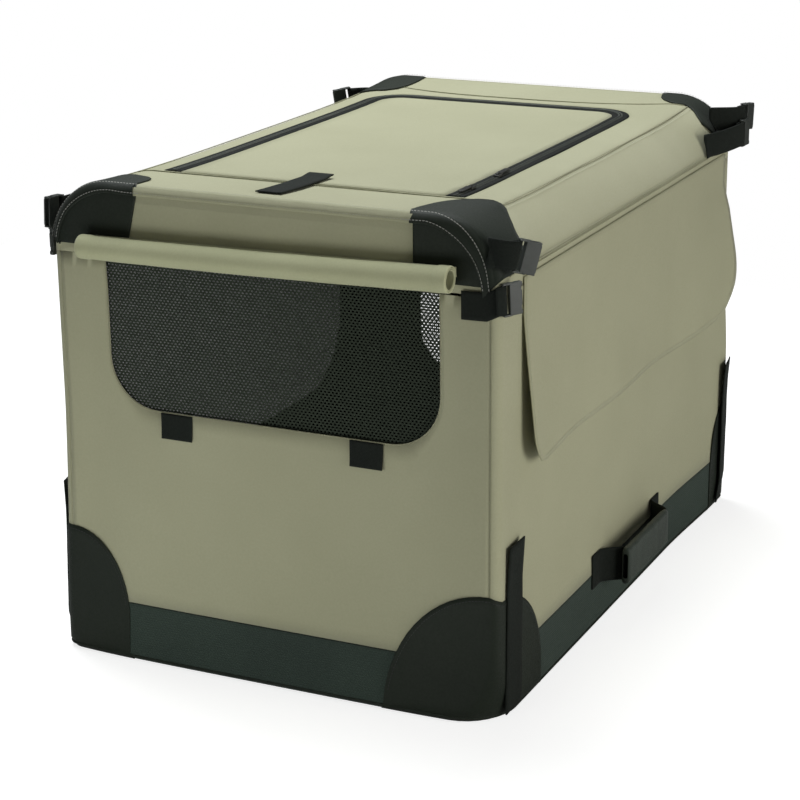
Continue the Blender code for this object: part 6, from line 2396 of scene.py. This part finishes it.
@dataclass
class Straps(Assembly):
    """Corner straps with their buckles, hook straps at the feet, and the carry handle."""

    width: float = 0.036
    thick: float = 0.0018
    loop: float = 0.0032
    tail: float = 0.012
    hook_half: float = 0.025
    handle_z: float = 0.089
    handle_stand: float = 0.034
    handle_rise: float = 0.036
    handle_sewn: float = 0.030
    handle_span: float = 0.143
    handle_middle: float = 0.012
    grip_half_x: float = 0.0058
    grip_half_z: float = 0.0272
    grip_longer: float = 0.026
    grip_inset: float = 0.006
    runs: tuple[StrapRun, ...] = (
        StrapRun(Corner.FRONT_RIGHT, Level.UPPER, 0.627, (0.302, -0.466), -24, 44, 0.038, 0.0, 1, -0.003, 15.0),
        StrapRun(Corner.FRONT_RIGHT, Level.LOWER, 0.5590, (0.270, -0.4712), 0, 55, 0.018, 0.034, -1, 0.009, -3.0),
        StrapRun(Corner.REAR_LEFT, Level.UPPER, 0.622, (0.302, -0.466), -24, 40, 0.040, 0.0, 1, -0.002, 8.0),
        StrapRun(Corner.REAR_LEFT, Level.LOWER, 0.5675, (0.268, -0.4712), 0, 50, 0.020, 0.037, -1),
        StrapRun(Corner.REAR_RIGHT, Level.UPPER, 0.639, (0.303, 0.408), 35, 78, 0.072, 0.0, 1, -0.004, 4.0),
        StrapRun(Corner.REAR_RIGHT, Level.LOWER, 0.609, (0.3165, 0.343), 62, 84, 0.108, 0.0, 1, 0.004),
        StrapRun(Corner.FRONT_LEFT, Level.UPPER, 0.617, (0.300, 0.360), 45, 86, 0.076, 0.0, -1, -0.002, -4.0),
        StrapRun(Corner.FRONT_LEFT, Level.LOWER, 0.577, (0.3165, 0.386), 50, 84, 0.040, 0.0, -1),
    )

    def build(self) -> None:
        """Make the straps, buckles, hook straps and handle."""
        for run in self.runs:
            self.make_corner_strap(run)
        for corner in Corner:
            self.make_hook_strap(corner)
        self.make_handle()

    def course(self, run: StrapRun) -> tuple[list[Flat], Flat]:
        """Plan of a strap with its loop and tail, and the centre of its buckle bar.

        Args:
            run: Course of the strap.

        Returns:
            The points and the bar's centre, both already turned to their corner.
        """
        u, v = run.root
        path = [(u, v)]
        if run.straight:
            for _ in range(4):
                u += run.straight / 4 * cos(radians(run.start))
                v += run.straight / 4 * sin(radians(run.start))
                path.append((u, v))
        count = 18
        for i in range(count):
            heading = radians(run.start + (run.end - run.start) * (i + 0.5) / count)
            u += run.length / count * cos(heading)
            v += run.length / count * sin(heading)
            path.append((u, v))
        heading = radians(run.end)
        ahead = (cos(heading), sin(heading))
        side = (-sin(heading) * run.hand, cos(heading) * run.hand)
        bar = (u + side[0] * self.loop, v + side[1] * self.loop)
        for angle in spread(0, pi, 10)[1:]:
            across, along = -self.loop * cos(angle), self.loop * sin(angle)
            path.append((bar[0] + side[0] * across + ahead[0] * along,
                         bar[1] + side[1] * across + ahead[1] * along))
        last = path[-1]
        for share in spread(0, 1, 4)[1:]:
            path.append((last[0] - ahead[0] * self.tail * share, last[1] - ahead[1] * self.tail * share))
        return [(a * run.turn, b * run.turn) for a, b in path], (bar[0] * run.turn, bar[1] * run.turn)

    def make_corner_strap(self, run: StrapRun) -> None:
        """A corner strap and its half of a buckle.

        Args:
            run: Course of the strap.
        """
        plan, bar = self.course(run)
        clear = self.form.gap + self.form.patch + self.form.gap
        bare = len(plan) - 15
        path = [Vector((x, y, run.height + run.rise * smoothstep(i / bare))) for i, (x, y) in enumerate(plan)]
        up = self.bearing(run)[1]
        rows: list[Row] = []
        travelled = 0.0
        for i, point in enumerate(path):
            travelled += (point - path[i - 1]).length if i else 0.0
            tilted = Z_WAY.lerp(up, smoothstep(i / bare))
            row: Row = []
            for offset in spread(-self.width / 2, self.width / 2, 8):
                spot = point + tilted * offset
                row.append((self.outside(spot, clear + self.thick / 2), (offset, travelled)))
            rows.append(row)
        strap = Cloth().grid(rows).build(run.node + "_web", [self.wear.webbing], self.thick, None, 0.0)
        self.fit(strap, run.node, "webbing", run.node + "_strap")
        self.make_buckle(run, bar)

    def outside(self, point: Vector, clear: float) -> Vector:
        """Move a point out of the roof cover until it is clear of it.

        Args:
            point: Place to move.
            clear: Distance that it keeps from the cover.

        Returns:
            The moved place.
        """
        form = self.form
        side = 1 if point.x >= 0 else -1
        end = 1 if point.y >= 0 else -1
        x, y = abs(point.x), abs(point.y)
        if y < form.end_flat:
            rail = form.height - form.radius
            if point.z > rail and x > form.flat_half:
                reach = form.flat_half + sqrt(max(0.0, (form.radius + clear) ** 2 - (point.z - rail) ** 2))
            else:
                reach = form.width / 2 + clear
            x = max(x, reach)
        elif y < form.length / 2 + clear:
            rail = form.height - form.radius
            inner = form.width / 2 - form.end_round
            if point.z > rail:
                inner = form.flat_half - form.end_round + sqrt(max(0.0, form.radius ** 2 - (point.z - rail) ** 2))
            if x < inner:
                y = form.length / 2 + clear
            else:
                away = Vector((x - inner, y - form.end_flat, 0))
                if away.length < form.end_round + clear:
                    away = away.normalized() * (form.end_round + clear)
                    x, y = inner + away.x, form.end_flat + away.y
        return Vector((side * x, end * y, point.z))

    def bearing(self, run: StrapRun) -> tuple[Vector, Vector]:
        """Direction in which a strap's end points, and its upward edge, with its lean.

        Args:
            run: Course of the strap.

        Returns:
            Both directions.
        """
        heading = radians(run.end if run.turn > 0 else run.end + 180)
        flat = Vector((cos(heading), sin(heading), 0))
        turn = radians(run.lean)
        return flat * cos(turn) - Vector((0, 0, sin(turn))), flat * sin(turn) + Vector((0, 0, cos(turn)))

    def make_buckle(self, run: StrapRun, bar: Flat) -> None:
        """One half of a side release buckle.

        Args:
            run: Course of the strap.
            bar: Centre of the bar that the strap loops round.
        """
        ahead, upward = self.bearing(run)
        side = upward.cross(ahead).normalized()
        centre = Vector((bar[0], bar[1], run.height + run.rise))
        place: Place = lambda u, v, w: centre + ahead * u + upward * v + side * w
        if run.level is Level.UPPER:
            parts = self.blocks(FEMALE_BLOCKS, place)
        else:
            parts = self.blocks(MALE_BLOCKS, place) + self.spring_arms(place)
        buckle = join_pieces(parts, run.node + "_clip")
        self.fit(buckle, run.node, "buckle_plastic", run.node + "_buckle")

    def blocks(self, table: Sequence[Block], place: Place) -> list[Piece]:
        """Make the rounded blocks of a buckle half.

        Args:
            table: The blocks.
            place: Turns the buckle's own axes into a place in space.

        Returns:
            The blocks as pieces.
        """
        made = []
        for block in table:
            near, far = block.near, block.far
            for low, high in ((-far, -near), (near, far)) if near else ((-far, far),):
                outline = rounded_outline((block.along[0], low), (block.along[1], high), block.radii, block.steps)
                made.append(slab_piece("block", outline, *block.depth, place, self.wear.plastic, block.bevel))
        return made

    def spring_arms(self, place: Place) -> list[Piece]:
        """Make the two spring arms of the half with the tongue."""
        low = [(u, -v) for u, v in SPRING_ARM]
        return [slab_piece("arm", outline, -0.0028, 0.0028, place, self.wear.plastic, 0.0007)
                for outline in (low, SPRING_ARM[::-1])]

    def make_hook_strap(self, corner: Corner) -> None:
        """An upright strap at a base corner, sewn at the foot, free and a little bent above.

        Args:
            corner: Which corner.
        """
        node = "hook_strap_" + corner.label
        low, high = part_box(node)
        y = (low.y + high.y) / 2
        inner = min(abs(low.x), abs(high.x))
        bent = {Corner.FRONT_LEFT: (-0.24, 0.006, -0.012), Corner.REAR_RIGHT: (-0.17, 0.0005, 0.022)}
        slant, away, shift = bent.get(corner, (0.0, 0.0, 0.0))
        path = []
        for z in spread(low.z, high.z, 26):
            share = (z - low.z) / (high.z - low.z)
            free = smoothstep(share / 0.18)
            lean = 0.0030 * share ** 3 + 0.0012 * sin(share * 7.0) * smoothstep((share - 0.5) / 0.4)
            x = inner + 0.0009 + max(0.0, lean) + away * free
            path.append(Vector((corner.side * x, y + shift * (0.4 + 0.6 * free), z)))
        across = Vector((corner.side * corner.end * slant, 1, 0))
        strap = band_piece(node + "_web", path, lambda i: (across + Vector((0, 0, 0.02 * i / 26))).normalized(),
                           lambda share: self.hook_half - 0.0015 * share ** 4, self.wear.webbing,
                           self.thick, 8, 0.0, 0.0004)
        self.fit(strap, corner.label + "_hook", "webbing", node)

    def handle_line(self) -> list[Vector]:
        """Points down the middle of the handle strap.

        Returns:
            The points from front to rear.
        """
        base = self.form.width / 2 + 0.0012
        span, sewn = self.handle_span, self.handle_sewn
        half = [(base, -span + sewn * k / 4) for k in range(4)]
        for share in spread(0, 1, 12):
            stand = self.handle_stand * (1 - cos(pi * share)) / 2
            half.append((base + stand, -(span - sewn) + self.handle_rise * share))
        path = half + [(half[-1][0], 0.0)] + [(x, -y) for x, y in half[::-1]]
        return [Vector((x, y + self.handle_middle, self.handle_z)) for x, y in path]

    def make_handle(self) -> None:
        """Carry handle: webbing that stands off the band, and the padded wrap around it."""
        line = resample(self.handle_line(), 0.004)
        strap = band_piece("carry_strap", line, lambda i: Z_WAY, lambda share: self.hook_half,
                           self.wear.webbing, self.thick, 8, 0.0, 0.0005)
        self.fit(strap, "handle", "webbing", "handle_strap")
        self.make_grip()

    def make_grip(self) -> None:
        """Padded wrap, closed along its top edge, softer than the strap."""
        low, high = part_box("handle_grip")
        low.y -= self.grip_longer
        low.x, high.x = low.x - self.grip_inset, high.x - self.grip_inset
        centre = (low + high) / 2
        rows: list[Row] = []
        for share in spread(-1, 1, 40):
            y = centre.y + share * (high.y - low.y) / 2
            pull = 0.0008 * (1 - smoothstep((1 - abs(share)) / 0.12))
            ring: Row = []
            half_x, half_z = self.grip_half_x - pull, self.grip_half_z - pull
            outline = rounded_outline((-half_x, -half_z), (half_x, half_z), (0.0050,) * 4, 6)
            full: list[Flat] = []
            for a, b in zip(outline, outline[1:] + outline[:1]):
                full += steps_between(a, b, 12 if abs(b[1] - a[1]) > self.grip_half_z else 2)
            run = 0.0
            for i, (u, v) in enumerate(full):
                run += hypot(u - full[i - 1][0], v - full[i - 1][1]) if i else 0.0
                crease = 0.0009 * noise.noise(Vector((u / 0.02, y / 0.018, v / 0.05)))
                x = centre.x + u + (crease if u > 0 else -crease)
                ring.append((Vector((x, y, centre.z + v)), (run, y)))
            rows.append(ring)
        lips: list[Row] = []
        for base in (rows[0], rows[-1]):
            middle = Vector((centre.x, base[0][0].y, centre.z))
            lips.append([(middle + (p - middle) * 0.7, uv) for p, uv in base])
        rows = [lips[0]] + rows + [lips[1]]
        grip = Cloth().grid(rows, wrap=True).build("padded_grip", [self.wear.grip], 0.0, tuple(centre))
        self.fit(grip, "handle", "grip_cloth", "handle_grip")


# Studio


@dataclass
class Studio:
    """Camera, lights, floor and backdrop."""

    place: Point = (1.2977, -2.8338, 1.2594)
    yaw: float = -0.4399
    pitch: float = 0.3087
    roll: float = -0.0093
    lens: float = 98.79
    fill: float = 0.08
    floor_half: float = 1.8
    floor_glow: float = 0.77

    def build(self) -> None:
        """Set up the whole studio."""
        self.make_camera()
        self.make_world()
        self.make_lights()
        self.make_floor()
        bpy.context.scene.view_settings.view_transform = "Standard"

    def make_camera(self) -> None:
        """Camera at the photograph's viewing angle."""
        forward = Vector((sin(self.yaw) * cos(self.pitch), cos(self.yaw) * cos(self.pitch), -sin(self.pitch)))
        right = Vector((cos(self.yaw), -sin(self.yaw), 0))
        up = right.cross(forward)
        across = right * cos(self.roll) + up * sin(self.roll)
        above = up * cos(self.roll) - right * sin(self.roll)
        data = bpy.data.cameras.new("camera")
        data.lens = self.lens
        data.sensor_width = 36.0
        camera = add_object("camera", data)
        turn = Matrix((across, above, -forward)).transposed()
        camera.matrix_world = Matrix.Translation(self.place) @ turn.to_4x4()
        bpy.context.scene.camera = camera

    def make_world(self) -> None:
        """White backdrop, with softer light on the object."""
        world = bpy.data.worlds.new("studio")
        bpy.context.scene.world = world
        world.use_nodes = True
        graph = Graph(world.node_tree)
        world.node_tree.nodes.clear()
        path = graph.node("ShaderNodeLightPath")
        seen = graph.node("ShaderNodeBackground")
        seen.inputs["Color"].default_value = (1, 1, 1, 1)
        seen.inputs["Strength"].default_value = 1.0
        fill = graph.node("ShaderNodeBackground")
        fill.inputs["Color"].default_value = (1.0, 1.0, 0.99, 1)
        fill.inputs["Strength"].default_value = self.fill
        mix = graph.node("ShaderNodeMixShader")
        shown = graph.maths("MAXIMUM", path.outputs["Is Camera Ray"], path.outputs["Is Transmission Ray"])
        graph.feed(mix.inputs[0], shown)
        graph.feed(mix.inputs[1], fill.outputs[0])
        graph.feed(mix.inputs[2], seen.outputs[0])
        graph.feed(graph.node("ShaderNodeOutputWorld").inputs[0], mix.outputs[0])

    def make_lights(self) -> None:
        """Large soft lamps."""
        for name, place, goal, power, size, colour in (
            ("top_lamp", (-0.80, 0.5, 3.2), (0.0, 0.0, 0.35), 102.0, 1.8, (0.965, 1.0, 1.02)),
            ("side_lamp", (3.1, -0.7, 0.80), (0.0, 0.0, 0.35), 46.0, 1.6, (1.0, 0.99, 0.96)),
            ("floor_card", (-0.15, -1.35, 0.02), (-0.1, -0.47, 0.22), 6.0, 0.7, (0.98, 1.0, 1.0)),
        ):
            data = bpy.data.lights.new(name, "AREA")
            data.energy = power
            data.shape = "SQUARE"
            data.size = size
            data.color = colour
            lamp = add_object(name, data)
            lamp.visible_camera = False
            aim = Vector(goal) - Vector(place)
            lamp.matrix_world = Matrix.Translation(place) @ aim.to_track_quat("-Z", "Y").to_matrix().to_4x4()

    def make_floor(self) -> None:
        """Plain white floor."""
        mesh = bpy.data.meshes.new("floor")
        half = self.floor_half
        mesh.from_pydata([(-half, -half, 0), (half, -half, 0), (half, half, 0), (-half, half, 0)], [], [(0, 1, 2, 3)])
        material, graph, shader = shader_of("studio_floor")
        shader.inputs["Base Color"].default_value = (0.55, 0.55, 0.54, 1)
        shader.inputs["Roughness"].default_value = 0.9
        path = graph.node("ShaderNodeLightPath")
        shader.inputs["Emission Color"].default_value = (1, 1, 1, 1)
        glow = graph.maths("MULTIPLY", path.outputs["Is Camera Ray"], self.floor_glow)
        graph.feed(shader.inputs["Emission Strength"], glow)
        mesh.materials.append(material)
        add_object("floor", mesh)


def main() -> None:
    """Dress the crate and set up the studio."""
    logging.basicConfig(level=logging.INFO, format="%(name)s: %(message)s")
    form = BodyForm()
    wardrobe = Wardrobe(Effects())
    Studio().build()
    for assembly in (Roof, CornerPatches, Base, Walls, Blinds, Straps):
        assembly(form, wardrobe).build()


if __name__ == "__main__":
    main()
